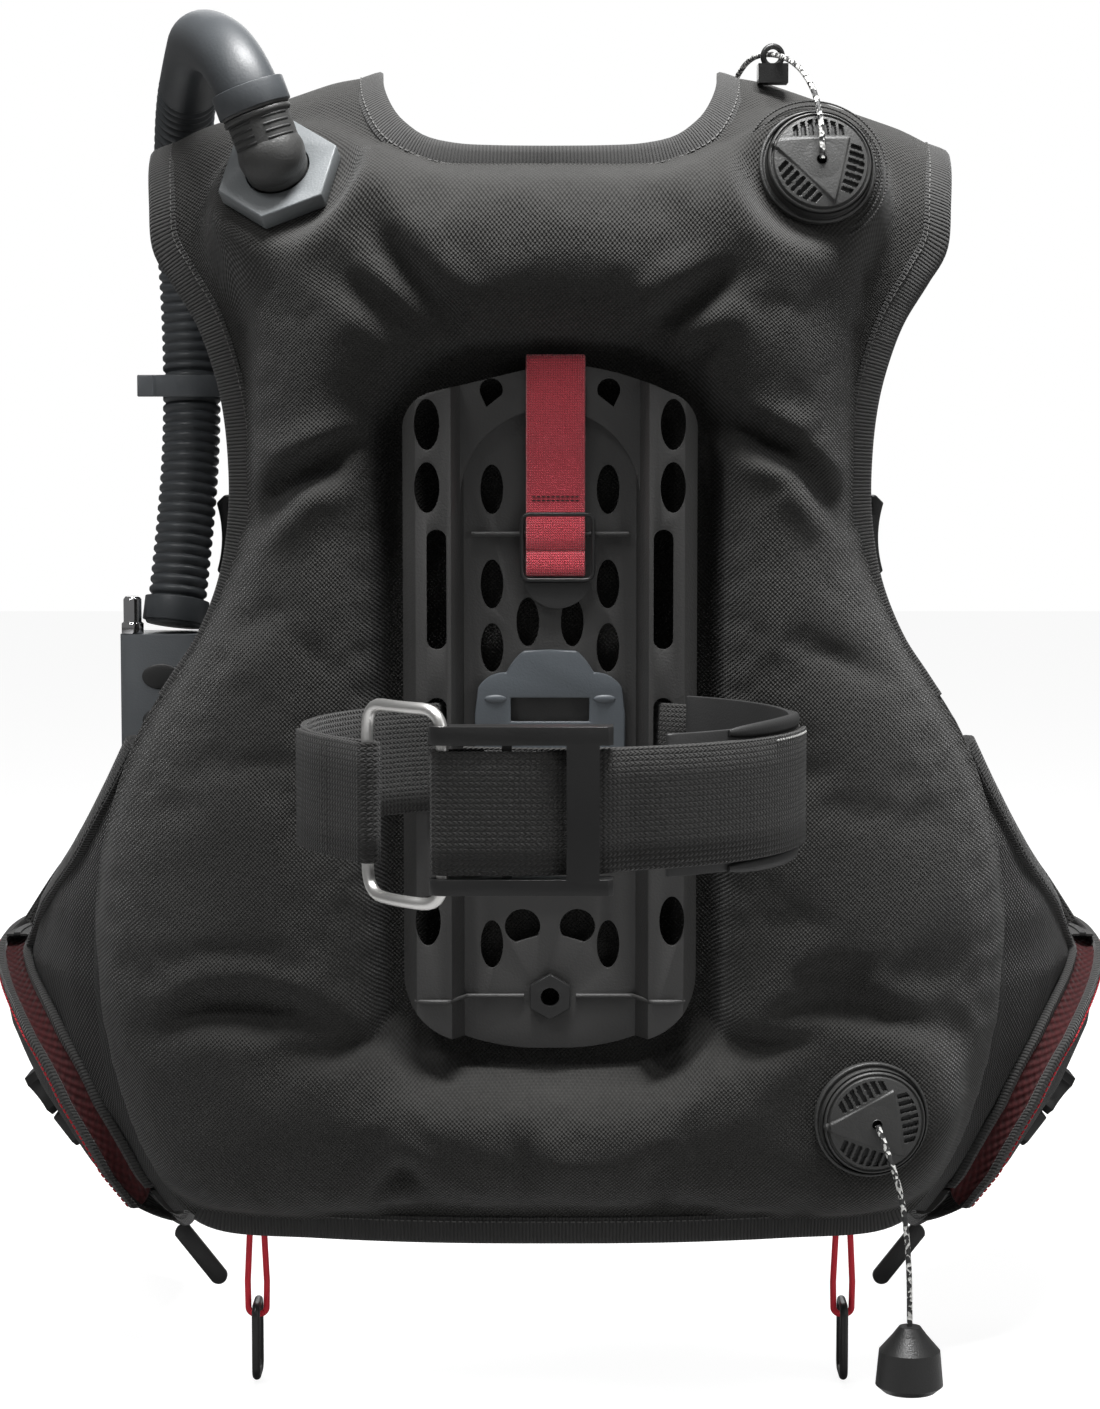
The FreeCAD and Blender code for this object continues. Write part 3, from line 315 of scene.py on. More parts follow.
def use_group(tree, group, sockets):
    """Place a group in a material with its own values."""
    return add_node(tree, "Group", sockets, node_tree=group)


# %% Effect: plain weave


def weave_group():
    """Small humps in a chequer, as threads of a plain cloth pass over and under."""
    group, given, out = new_group("Plain weave", [("Vector", None), ("Threads", 900.0)], ["Height"])
    scaled = add_node(group, "VectorMath", [(0, given.outputs["Vector"]), (3, given.outputs["Threads"])],
                      operation="SCALE")
    parts = add_node(group, "SeparateXYZ", [(0, scaled.outputs[0])])
    warp = maths(group, "SINE", maths(group, "MULTIPLY", parts.outputs["X"], math.pi))
    weft = maths(group, "SINE", maths(group, "MULTIPLY", parts.outputs["Y"], math.pi))
    chequer = maths(group, "MULTIPLY", warp, weft)
    uneven = add_node(group, "TexNoise", [("Vector", scaled.outputs[0]), ("Scale", 0.35), ("Detail", 2.0)])
    height = maths(group, "ADD", chequer, maths(group, "MULTIPLY", uneven.outputs[0], 1.6))
    group.links.new(height, out.inputs["Height"])
    return group


WEAVE = weave_group()

# %% Effect: ribbed tape and strap chevrons


def ribs_group():
    """Ribs across a narrow tape."""
    group, given, out = new_group("Tape ribs", [("Along", 0.0), ("Pitch", 0.0017)], ["Height"])
    phase = maths(group, "DIVIDE", given.outputs["Along"], given.outputs["Pitch"])
    hump = maths(group, "ABSOLUTE", maths(group, "SINE", maths(group, "MULTIPLY", phase, math.pi)))
    group.links.new(hump, out.inputs["Height"])
    return group


def chevron_group():
    """Columns of slanting stitches, as a thick strap is woven."""
    group, given, out = new_group("Strap chevrons", [("Along", 0.0), ("Across", 0.0), ("Pitch", 0.0021)],
                                  ["Height"])
    column = maths(group, "DIVIDE", given.outputs["Across"], given.outputs["Pitch"])
    part = maths(group, "FRACT", column)
    slant = maths(group, "ABSOLUTE", maths(group, "SUBTRACT", part, 0.5))
    step = maths(group, "DIVIDE", given.outputs["Along"], given.outputs["Pitch"])
    phase = maths(group, "ADD", step, slant)
    stitch = maths(group, "ABSOLUTE", maths(group, "SINE", maths(group, "MULTIPLY", phase, math.pi)))
    valley = maths(group, "SINE", maths(group, "MULTIPLY", part, math.pi))
    height = maths(group, "MULTIPLY", stitch, maths(group, "POWER", valley, 0.6))
    group.links.new(height, out.inputs["Height"])
    return group


RIBS = ribs_group()
CHEVRONS = chevron_group()

# %% Effect: moulded grain and slow change of tone


def grain_group():
    """Fine pits of a textured mould."""
    group, given, out = new_group("Mould grain", [("Vector", None), ("Size", 0.0009)], ["Height"])
    scale = maths(group, "DIVIDE", 1.0, given.outputs["Size"])
    pits = add_node(group, "TexNoise", [("Vector", given.outputs["Vector"]), ("Scale", scale), ("Detail", 3.0)])
    group.links.new(pits.outputs[0], out.inputs["Height"])
    return group


def tone_group():
    """A soft mask that drifts from 0 to 1 over some centimetres."""
    group, given, out = new_group("Slow tone", [("Vector", None), ("Scale", 14.0), ("Contrast", 1.6)], ["Mask"])
    drift = add_node(group, "TexNoise", [("Vector", given.outputs["Vector"]), ("Scale", given.outputs["Scale"]),
                                         ("Detail", 4.0), ("Roughness", 0.6)])
    centred = maths(group, "SUBTRACT", drift.outputs[0], 0.5)
    centred = maths(group, "MULTIPLY", centred, given.outputs["Contrast"])
    mask = add_node(group, "Clamp", [(0, maths(group, "ADD", centred, 0.5))])
    group.links.new(mask.outputs[0], out.inputs["Mask"])
    return group


GRAIN = grain_group()
TONE = tone_group()
print("effects", [g.name for g in bpy.data.node_groups])

# %% Cloth, tape and strap finishes


def start_material(name, dark, light, rough, tone_scale=14.0):
    """A material whose colour and roughness drift slowly between two values."""
    made = bpy.data.materials.new(name)
    made.use_nodes = True
    tree = made.node_tree
    shader = tree.nodes["Principled BSDF"]
    place = add_node(tree, "TexCoord").outputs["Object"]
    tone = use_group(tree, TONE, [("Vector", place), ("Scale", tone_scale)]).outputs["Mask"]
    colour = add_node(tree, "Mix", [("Factor", tone)], data_type="RGBA")
    colour.inputs["A"].default_value = (*dark, 1.0)
    colour.inputs["B"].default_value = (*light, 1.0)
    tree.links.new(colour.outputs["Result"], shader.inputs["Base Color"])
    rougher = add_node(tree, "MapRange", [("Value", tone), ("To Min", rough - 0.05), ("To Max", rough + 0.05)])
    tree.links.new(rougher.outputs[0], shader.inputs["Roughness"])
    return made, tree, shader, place, colour


def add_bump(tree, shader, height, distance, strength=1.0):
    """Turn a height into the shader's normal."""
    bump = add_node(tree, "Bump", [("Height", height), ("Distance", distance), ("Strength", strength)])
    tree.links.new(bump.outputs[0], shader.inputs["Normal"])
    return bump


def paint_shade_in_hollows(tree, colour, shader, height, dark, amount):
    """Painted shade: darken the colour in the low places of a weave, where shade falls."""
    weight = maths(tree, "MULTIPLY", maths(tree, "SUBTRACT", 1.0, height), amount)
    painted_shade = add_node(tree, "Mix", [("Factor", weight), ("A", colour.outputs["Result"])], data_type="RGBA")
    tree.links.new(colour.outputs["Result"], painted_shade.inputs["A"])
    painted_shade.inputs["B"].default_value = (*dark, 1.0)
    tree.links.new(painted_shade.outputs["Result"], shader.inputs["Base Color"])


def attribute(tree, name):
    """One number per point that a mesh carries."""
    return add_node(tree, "Attribute", attribute_name=name, attribute_type="GEOMETRY")


def cloth_material(name, dark, light, threads=1000.0, depth=0.00022, sheen=0.25, rough=0.82):
    """Coated nylon cloth that reads its place on the flat pattern."""
    made, tree, shader, _, colour = start_material(name, dark, light, rough)
    flat = attribute(tree, "flat").outputs["Vector"]
    weave = use_group(tree, WEAVE, [("Vector", flat), ("Threads", threads)]).outputs["Height"]
    add_bump(tree, shader, weave, depth)
    # painted shade in the low places of the weave
    paint_shade_in_hollows(tree, colour, shader, weave, [0.35 * v for v in dark], 0.45)
    shader.inputs["Sheen Weight"].default_value = sheen
    shader.inputs["Sheen Roughness"].default_value = 0.45
    shader.inputs["Specular IOR Level"].default_value = 0.3
    return made


def tape_material(name, dark, light, pitch=0.0017, sheen=0.2):
    """Ribbed binding tape."""
    made, tree, shader, _, colour = start_material(name, dark, light, 0.78)
    along = attribute(tree, "along").outputs["Fac"]
    ribs = use_group(tree, RIBS, [("Along", along), ("Pitch", pitch)]).outputs["Height"]
    add_bump(tree, shader, ribs, 0.0005)
    # painted shade in the hollows between the tape's ribs
    paint_shade_in_hollows(tree, colour, shader, ribs, [0.3 * v for v in dark], 0.7)
    shader.inputs["Sheen Weight"].default_value = sheen
    shader.inputs["Specular IOR Level"].default_value = 0.35
    return made


def strap_material(name, dark, light, pitch=0.0021, sheen=0.15, rough=0.72):
    """Thick woven strap."""
    made, tree, shader, _, colour = start_material(name, dark, light, rough)
    along = attribute(tree, "along").outputs["Fac"]
    across = attribute(tree, "across").outputs["Fac"]
    woven = use_group(tree, CHEVRONS, [("Along", along), ("Across", across), ("Pitch", pitch)])
    weave = woven.outputs["Height"]
    add_bump(tree, shader, weave, 0.0006)
    # painted shade in the hollows between the strap's chevrons
    paint_shade_in_hollows(tree, colour, shader, weave, [0.3 * v for v in dark], 0.7)
    shader.inputs["Sheen Weight"].default_value = sheen
    shader.inputs["Specular IOR Level"].default_value = 0.35
    return made


SHELL_CLOTH = cloth_material("shell cloth", (0.019, 0.0185, 0.0172), (0.031, 0.0302, 0.0284),
                             1000.0, 0.0003, 0.13)
# The wings and pockets take the shell's cloth in a darker colour, which is painted shade for their faces in shadow.
WING_CLOTH_PAINTED_SHADE = cloth_material("wing cloth", (0.010, 0.0098, 0.0095), (0.016, 0.0157, 0.0150), 800.0, 0.0003, 0.12)
LINING = cloth_material("lining mesh", (0.012, 0.012, 0.012), (0.017, 0.017, 0.017), 420.0, 0.0005, 0.1)
PAD_CLOTH = cloth_material("pad cloth", (0.018, 0.018, 0.018), (0.026, 0.026, 0.026), 500.0, 0.0004)
RED_MESH = cloth_material("red spacer mesh", (0.034, 0.0035, 0.0042), (0.060, 0.006, 0.0072),
                          420.0, 0.0006, 0.1)
BINDING = tape_material("binding tape", (0.030, 0.0295, 0.0285), (0.046, 0.0452, 0.0440))
BLACK_STRAP = strap_material("black strap", (0.017, 0.0164, 0.0154), (0.028, 0.0270, 0.0254), 0.0022)
RED_STRAP = strap_material("red strap", (0.88, 0.045, 0.080), (1.0, 0.085, 0.130), 0.0011, 0.5)
print("cloths and straps", len(bpy.data.materials))

# %% Moulded, rubber and metal finishes


def moulded_material(name, dark, light, rough, grain=0.0009, depth=0.00012, specular=0.5, coat=0.0):
    """Moulded plastic or rubber with the grain of its mould."""
    made, tree, shader, place, _ = start_material(name, dark, light, rough, 22.0)
    pits = use_group(tree, GRAIN, [("Vector", place), ("Size", grain)]).outputs["Height"]
    add_bump(tree, shader, pits, depth)
    shader.inputs["Specular IOR Level"].default_value = specular
    shader.inputs["Coat Weight"].default_value = coat
    return made


def metal_material(name, dark, light, rough):
    """Drawn or plated metal with faint rubbing marks."""
    made, tree, shader, place, _ = start_material(name, dark, light, rough, 40.0)
    marks = use_group(tree, GRAIN, [("Vector", place), ("Size", 0.0016)]).outputs["Height"]
    add_bump(tree, shader, marks, 0.00003)
    shader.inputs["Metallic"].default_value = 1.0
    return made


PLATE = moulded_material("plate plastic", (0.034, 0.0334, 0.0326), (0.044, 0.0434, 0.0426),
                         0.50, 0.0011, 0.00022)
GUIDE = moulded_material("guide plastic", (0.070, 0.080, 0.090), (0.088, 0.099, 0.110), 0.42)
BUCKLE = moulded_material("buckle plastic", (0.014, 0.014, 0.014), (0.020, 0.020, 0.020), 0.36)
LEVER = moulded_material("lever plastic", (0.013, 0.013, 0.013), (0.018, 0.018, 0.018), 0.36, 0.0012, 0.00010)
VALVE = moulded_material("valve plastic", (0.034, 0.034, 0.033), (0.044, 0.044, 0.043), 0.46, 0.0010, 0.00018)
VALVE_GREY = moulded_material("valve grey", (0.125, 0.135, 0.140), (0.155, 0.165, 0.170), 0.45, 0.0010, 0.00016)
# Dark finish of the valve discs; the same finish is painted shade on the floors of the cap slots and on the elbow's
# vents.
DISC_AND_PAINTED_HOLE_SHADE = moulded_material("valve disc and painted hole shade", (0.010, 0.010, 0.010), (0.014, 0.014, 0.014), 0.6)
HOSE = moulded_material("hose rubber", (0.040, 0.044, 0.048), (0.055, 0.060, 0.065), 0.45, 0.0014, 0.00008)
RUBBER = moulded_material("pad rubber", (0.018, 0.018, 0.018), (0.026, 0.026, 0.026), 0.5)
GRIP_GREY = moulded_material("grip grey", (0.085, 0.092, 0.100), (0.110, 0.118, 0.125), 0.42)
STEEL = metal_material("stainless", (0.80, 0.79, 0.77), (0.90, 0.89, 0.87), 0.36)
CHROME = metal_material("chrome", (0.62, 0.62, 0.63), (0.74, 0.74, 0.75), 0.12)
RED_CORD = moulded_material("red cord", (0.72, 0.016, 0.036), (0.86, 0.026, 0.052), 0.6, 0.0009, 0.0003)
RED_THREAD = moulded_material("red thread", (0.45, 0.012, 0.025), (0.60, 0.020, 0.035), 0.7)
GREY_THREAD = moulded_material("grey thread", (0.070, 0.069, 0.067), (0.100, 0.099, 0.096), 0.7)
BLACK_THREAD = moulded_material("black thread", (0.016, 0.016, 0.016), (0.024, 0.024, 0.024), 0.7)
WHITE_THREAD = moulded_material("white thread", (0.60, 0.60, 0.58), (0.75, 0.75, 0.73), 0.7)


def flecked_cord():
    """Black braided cord with pale flecks."""
    dark, light = (0.02, 0.02, 0.02), (0.03, 0.03, 0.03)
    made, tree, shader, place, colour = start_material("flecked cord", dark, light, 0.6)
    flecks = add_node(tree, "TexVoronoi", [("Vector", place), ("Scale", 640.0)])
    shade = add_node(tree, "SeparateColor", [(0, flecks.outputs["Color"])]).outputs[0]
    mask = maths(tree, "GREATER_THAN", shade, 0.6)
    pale = add_node(tree, "Mix", [("Factor", mask)], data_type="RGBA")
    tree.links.new(colour.outputs["Result"], pale.inputs["A"])
    pale.inputs["B"].default_value = (0.62, 0.62, 0.60, 1.0)
    tree.links.new(pale.outputs["Result"], shader.inputs["Base Color"])
    add_bump(tree, shader, flecks.outputs["Distance"], 0.0004)
    return made


DUMP_CORD = flecked_cord()
print("materials", len(bpy.data.materials))

# %% Materials of the hard parts that stay
NODE_FINISH = {
    "back_plate": PLATE, "plate_insert": BUCKLE, "band_guide": GUIDE, "band_pad": RUBBER,
    "cam_lever": LEVER, "link_ring": STEEL, "strap_slider": BUCKLE, "strap_patch": RUBBER,
    "elbow_base": VALVE_GREY, "elbow_body": VALVE, "elbow_disc": DISC_AND_PAINTED_HOLE_SHADE, "hose_collars": HOSE,
    "inflator_body": GRIP_GREY, "inflate_button": BUCKLE, "deflate_button": BUCKLE, "mouthpiece": RUBBER,
    "lp_nipple": CHROME, "hose_clip": GRIP_GREY, "rear_dump_base": VALVE, "rear_dump_cap": VALVE,
    "rear_dump_disc": DISC_AND_PAINTED_HOLE_SHADE, "shoulder_dump_base": VALVE, "shoulder_dump_cap": VALVE,
    "shoulder_dump_disc": DISC_AND_PAINTED_HOLE_SHADE, "rear_dump_knob": BUCKLE, "shoulder_dump_knob": BUCKLE,
    "cord_guide": BUCKLE, "hem_loops": RED_CORD,
}
PAIRED_SOFTENING = {
    "hem_ring": 0.5, "pull_tab": 0.8, "zip_slider": 0.6, "shoulder_buckle_socket": 1.6,
    "shoulder_buckle_plug": 1.2, "pocket_buckle_socket": 1.2, "pocket_buckle_plug": 1.0,
}
for part in PAIRED_SOFTENING:
    for _, label in HANDS:
        NODE_FINISH[f"{part}_{label}"] = BUCKLE
for name, finish in NODE_FINISH.items():
    cad_mesh = frame["nodes"][name].data
    cad_mesh.materials.clear()
    cad_mesh.materials.append(finish)
print("hard parts with a finish", len(NODE_FINISH))

# %% Helpers for meshes


def finish_piece(bm, name, material, body=None, crease=38.0):
    """Turn a bmesh into a piece of the vest, smooth but for its sharp edges."""
    mesh = bpy.data.meshes.new(name)
    bm.to_mesh(mesh)
    bm.free()
    mesh.materials.append(material)
    mesh.shade_smooth()
    mesh.set_sharp_from_angle(angle=math.radians(crease))
    piece = bpy.data.objects.new(name, mesh)
    scene.collection.objects.link(piece)
    if body is not None:
        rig.ride(piece, body)
    print(name, len(mesh.polygons), "faces")
    return piece


def grid_piece(columns, rows, place, closed=False):
    """A grid of faces whose points are placed one by one; place gives a point in millimetres,
    and how far along and across the cloth it lies."""
    bm = bmesh.new()
    along = bm.verts.layers.float.new("along")
    across = bm.verts.layers.float.new("across")
    flat = bm.verts.layers.float_vector.new("flat")
    bmesh.ops.create_grid(bm, x_segments=columns, y_segments=rows, size=0.5)
    for vert in bm.verts:
        i = round((vert.co.x + 0.5) * columns)
        j = round((vert.co.y + 0.5) * rows)
        point, run, side = place(i, j)
        vert.co = Vector(point) * MM
        vert[along] = run * MM
        vert[across] = side * MM
        vert[flat] = (side * MM, run * MM, 0.0)
    if closed:
        bmesh.ops.remove_doubles(bm, verts=bm.verts, dist=0.00001)
    return bm


def sweep(stations, name, material, body=None, closed_path=False, crease=50.0):
    """Join a row of equal cross-sections, each a closed ring of points in millimetres, into one solid."""
    count = len(stations[0])
    runs = [0.0]
    for before, after in zip(stations, stations[1:]):
        runs.append(runs[-1] + (Vector(after[0]) - Vector(before[0])).length)
    sides = [0.0]
    for before, after in zip(stations[0], stations[0][1:] + stations[0][:1]):
        sides.append(sides[-1] + (Vector(after) - Vector(before)).length)
    bm = grid_piece(len(stations) - 1, count, lambda i, j: (stations[i][j % count], runs[i], sides[j]), True)
    if not closed_path:
        edges = [e for e in bm.edges if e.is_boundary]
        bmesh.ops.holes_fill(bm, edges=edges, sides=0)
    bmesh.ops.recalc_face_normals(bm, faces=bm.faces)
    return finish_piece(bm, name, material, body, crease)


def smooth_line(points, step):
    """Even points along a smooth line through the given ones."""
    points = [Vector(p) for p in points]
    fine = []
    for k in range(len(points) - 1):
        before = points[max(k - 1, 0)]
        a, b = points[k], points[k + 1]
        after = points[min(k + 2, len(points) - 1)]
        for part in range(12):
            t = part / 12
            fine.append(0.5 * (2 * a + (b - before) * t + (2 * before - 5 * a + 4 * b - after) * t ** 2
                               + (3 * a - 3 * b + after - before) * t ** 3))
    fine.append(points[-1])
    return even_line(fine, step)


def even_line(points, step):
    """The same line with points an even step apart."""
    points = [Vector(p) for p in points]
    lengths = [0.0]
    for before, after in zip(points, points[1:]):
        lengths.append(lengths[-1] + (after - before).length)
    count = max(2, round(lengths[-1] / step))
    out, k = [], 0
    for number in range(count + 1):
        want = lengths[-1] * number / count
        while k < len(lengths) - 2 and lengths[k + 1] < want:
            k += 1
        share = (want - lengths[k]) / max(lengths[k + 1] - lengths[k], 1e-9)
        out.append(points[k].lerp(points[k + 1], min(max(share, 0.0), 1.0)))
    return out


def smoothstep(low, high, value):
    """0 below low, 1 above high, and a smooth rise between; for numbers and arrays."""
    t = np.clip((value - low) / (high - low), 0.0, 1.0)
    return t * t * (3 - 2 * t)


# %% [markdown]
# ## Dump cords
# Two thin braided cords pull the dump valves open. One hangs from the rear valve straight down to its
# knob, the other runs over the shoulder through a small guide and hangs in front. A cord is a smooth
# spline through listed control points, with a round tube about it.

# %% Cord routes and tubes
REAR_CORD = [
    (0.1495, 0.0800, -0.1624),
    (0.1545, 0.0755, -0.1750),
    (0.1610, 0.0740, -0.1960),
    (0.1640, 0.0740, -0.2250),
    (0.1645, 0.0740, -0.2540),
    (0.1645, 0.0740, -0.2600),
]
SHOULDER_CORD = [
    (0.1227, 0.0983, 0.2759),
    (0.1225, 0.0980, 0.2920),
    (0.1195, 0.1120, 0.3090),
    (0.1130, 0.1400, 0.3230),
    (0.1035, 0.1740, 0.3305),
    (0.0940, 0.2100, 0.3305),
    (0.0870, 0.2460, 0.3150),
    (0.0840, 0.2710, 0.2860),
    (0.0830, 0.2795, 0.2500),
    (0.0830, 0.2805, 0.2170),
    (0.0830, 0.2805, 0.2110),
]
CORD_RADIUS = 0.0013


def spline_points(route, resolution=10):
    """Points that a smooth spline with these control points passes through."""
    curve = bpy.data.curves.new("route", "CURVE")
    curve.dimensions = "3D"
    curve.resolution_u = resolution
    spline = curve.splines.new("NURBS")
    spline.points.add(len(route) - 1)
    for point, at in zip(spline.points, route):
        point.co = (*at, 1.0)
    spline.order_u = 3
    spline.use_endpoint_u = True
    holder = bpy.data.objects.new("route", curve)
    line = bpy.data.meshes.new_from_object(holder)
    points = [v.co.copy() for v in line.vertices]
    bpy.data.objects.remove(holder)
    bpy.data.curves.remove(curve)
    bpy.data.meshes.remove(line)
    return points


def frames_along(points):
    """A tangent and two side directions at each point, which turn as little as possible."""
    side = None
    out = []
    for k, point in enumerate(points):
        ahead = points[min(k + 1, len(points) - 1)] - points[max(k - 1, 0)]
        ahead.normalize()
        if side is None:
            side = ahead.orthogonal().normalized()
        side = (side - ahead * side.dot(ahead)).normalized()
        out.append((point, ahead, side, ahead.cross(side)))
    return out


def round_tube(points, radius_at, name, material, body=None, sides=12):
    """A tube about a line of points in metres; radius_at gives the radius in metres at each one."""
    stations = []
    for number, (point, ahead, side, up) in enumerate(frames_along(points)):
        reach = radius_at(number)
        ring = []
        for k in range(sides):
            angle = 2 * math.pi * k / sides
            ring.append((point + (side * math.cos(angle) + up * math.sin(angle)) * reach) / MM)
        stations.append(ring)
    return sweep(stations, name, material, body)


rear_line = spline_points(REAR_CORD)
shoulder_line = spline_points(SHOULDER_CORD)
rear_cord = round_tube(rear_line, lambda k: CORD_RADIUS, "rear_cord", DUMP_CORD)
shoulder_cord = round_tube(shoulder_line, lambda k: CORD_RADIUS, "shoulder_cord", DUMP_CORD)


def line_length(points):
    """Length of a line of points."""
    return sum((b - a).length for a, b in zip(points, points[1:]))


for cord, line, label in ((rear_cord, rear_line, "rear_dump"), (shoulder_cord, shoulder_line, "shoulder_dump")):
    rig.replaces(cord, label + "_cord")
    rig.slot(cord, "dump_cord")
    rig.blend(cord, "shell", label + "_knob", start=line[0], end=line[-1])
    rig.cord(cord, exit=line[0], length=line_length(line), diameter=2 * CORD_RADIUS, far_end="fitting",
            stiffness="limp", lay="hanging", path=line, with_pieces=[label + "_knob"])
    print(label, "cord is", round(line_length(line), 3), "m long")

# %% [markdown]
# ## The vest's shell
# The back is one bag of coated nylon. Its two faces are welded together along the edge and round the
# plate, so air swells it into a fat ring, and its upper corners run on over the shoulders as padded
# straps. It could be modelled straight in its final form, but a real one is cut flat. So the pattern is
# cut as a thin flat slab, remeshed to even squares, swollen by cloth simulation with its welds held
# still, and only then bent round the wearer's back and over the shoulders.

# %% Pattern outlines
BACK_RADIUS, BACK_CENTRE = 379.0, 497.0
BACK_DEPTH = 124.0
SHOULDER_FLARE = 0.2308
BEFORE_SHOULDER, BEYOND_SHOULDER = (218.0, 124.0, 218.0), (637.0, 273.0, 86.0)
SLOPE_FROM, SLOPE = 66.0, 0.3154
SLAB_HALF = 6.0
PATTERN_HALF = [
    (0, 282), (24, 282.5), (44, 284), (60, 289), (71, 301), (78, 322), (80, 350), (82, 385), (86, 420),
    (92, 465), (98, 510), (105, 550), (112, 584), (150, 584), (154, 550), (158, 508), (161, 462), (164, 430),
    (173, 408), (187, 386), (191, 362), (190, 330), (188, 300), (186, 276), (177, 254), (166, 227),
    (159, 202), (153, 172), (150, 142), (150, 114), (155, 84), (166, 57), (180, 36), (197, 10), (210, -22),
    (219, -58), (221, -92), (217, -130), (208, -166), (194, -199), (179, -218), (158, -228), (110, -227),
    (50, -226), (0, -225.5),
]
CORE_HALF = [
    (0, 270), (40, 270.5), (62, 275), (82, 282), (104, 285), (130, 282), (149, 272), (154, 256), (147, 234),
    (141, 207), (139, 178), (138, 148), (138, 120), (143, 98), (152, 76), (166, 50), (184, 22), (200, -8),
    (213, -44), (219, -80), (219, -124), (210, -164), (194, -198), (176, -213), (150, -218), (120, -216),
    (84, -211), (58, -206), (28, -207), (0, -206),
]
WELD_HALF = [(0, 195), (30, 193), (50, 187), (66, 175), (75, 158), (77, 140), (77, -100), (72, -122),
             (60, -134), (40, -141), (0, -144)]
OVER_SHOULDER = [
    (240, 124, 240), (262.1, 126, 262), (291.2, 134, 290), (317.6, 150, 311), (340.4, 170, 322),
    (360.6, 190, 324.5), (383.3, 212, 319), (411.9, 235, 302), (438.1, 252, 282), (464.1, 262, 258),
    (507.5, 268, 215), (552.6, 271, 170), (594.6, 272, 128),
]


def both_halves(half):
    """A closed outline from its right half, which runs from the top middle down to the foot."""
    return half + [(-x, w) for x, w in half[-2:0:-1]]


def flat_line(corners, step=3.0):
    """Even points along the smooth line through some corners of a pattern."""
    return [(p.x, p.y) for p in smooth_line([(x, w, 0) for x, w in corners], step)]


def rounded_outline(half, step=4.0):
    """Even points along the smooth closed outline."""
    corners = both_halves(half)
    return flat_line(corners + corners[:1], step)[:-1]


pattern = rounded_outline(PATTERN_HALF)
core = np.array(rounded_outline(CORE_HALF, 5.0))
weld = np.array(rounded_outline(WELD_HALF, 5.0))
print("pattern points", len(pattern), "core", len(core), "weld", len(weld))

# %% Distances to lines, for whole sets of points at once


def nearest_on(points, line, closed=True):
    """Distance from each point to a line, and how far along the line the nearest place is, 0 to 1."""
    starts = np.asarray(line, float)
    ends = np.roll(starts, -1, axis=0)
    if not closed:
        starts, ends = starts[:-1], ends[:-1]
    steps = ends - starts
    lengths = np.linalg.norm(steps, axis=1)
    before = np.concatenate([[0.0], np.cumsum(lengths)[:-1]])
    away = points[:, None, :] - starts[None, :, :]
    share = np.clip((away * steps).sum(2) / np.maximum(lengths ** 2, 1e-12), 0.0, 1.0)
    gap = np.linalg.norm(away - steps * share[..., None], axis=2)
    best = gap.argmin(1)
    rows = np.arange(len(points))
    return gap[rows, best], (before[best] + lengths[best] * share[rows, best]) / lengths.sum()


def is_inside(points, line):
    """True for each point inside a closed line."""
    x, z = points[:, 0:1], points[:, 1:2]
    a = np.asarray(line, float)
    b = np.roll(a, -1, axis=0)
    crosses = (a[:, 1] > z) != (b[:, 1] > z)
    at = a[:, 0] + (z - a[:, 1]) * (b[:, 0] - a[:, 0]) / np.where(b[:, 1] == a[:, 1], 1e-9, b[:, 1] - a[:, 1])
    return (crosses & (x < at)).sum(1) % 2 == 1


def dome(distance, reach):
    """A quarter of an ellipse that rises from 0 at the weld to 1 at its reach."""
    t = np.clip(distance / reach, 0.0, 1.0)
    return np.sqrt(1.0 - (1.0 - t) ** 2)


# %% Bending the flat pattern round the wearer


def profile(w):
    """Depth and height of the shoulder line at a length w of the pattern, and their slopes."""
    table = OVER_SHOULDER
    if w <= table[0][0]:
        return BACK_DEPTH, w, 0.0, 1.0
    k = min(max(i for i in range(len(table)) if table[i][0] <= w), len(table) - 2)
    before = table[k - 1] if k else BEFORE_SHOULDER
    a, b = table[k], table[k + 1]
    after = table[k + 2] if k + 2 < len(table) else BEYOND_SHOULDER
    span = b[0] - a[0]
    t = (w - a[0]) / span
    values = []
    for axis in (1, 2):
        rise_a = (b[axis] - before[axis]) / (b[0] - before[0]) * span
        rise_b = (after[axis] - a[axis]) / (after[0] - a[0]) * span
        p, q = a[axis], b[axis]
        values.append((p, rise_a, 3 * (q - p) - 2 * rise_a - rise_b, 2 * (p - q) + rise_a + rise_b))
    at = [c[0] + c[1] * t + c[2] * t ** 2 + c[3] * t ** 3 for c in values]
    slope = [(c[1] + 2 * c[2] * t + 3 * c[3] * t ** 2) / span for c in values]
    size = math.hypot(*slope)
    return at[0], at[1], slope[0] / size, slope[1] / size


def height_of(x, w):
    """Height of a pattern point, before any offset: shoulders slope down towards their tips."""
    out = max(abs(x) - SLOPE_FROM, 0.0)
    return profile(w)[1] - SLOPE * out * float(smoothstep(130, 285, w))


def on_vest(x, w, out=0.0):
    """Place of a pattern point on the bent vest, in millimetres; out lies away from the wearer's body."""
    depth, level, run_y, run_z = profile(w)
    sideways = max(abs(x) - SLOPE_FROM, 0.0)
    back = BACK_CENTRE - math.sqrt(BACK_RADIUS ** 2 - min(abs(x), 300) ** 2)
    over = BACK_DEPTH + SHOULDER_FLARE * (abs(x) - SLOPE_FROM)
    turn = float(smoothstep(225, 330, w))
    y = back + (over - back) * turn + depth - BACK_DEPTH
    z = level - SLOPE * sideways * float(smoothstep(130, 285, w))
    return Vector((x, y - run_z * out, z + run_y * out))


print("shoulder crest at", [round(v) for v in on_vest(79, 360)], [round(v) for v in on_vest(189, 360)])

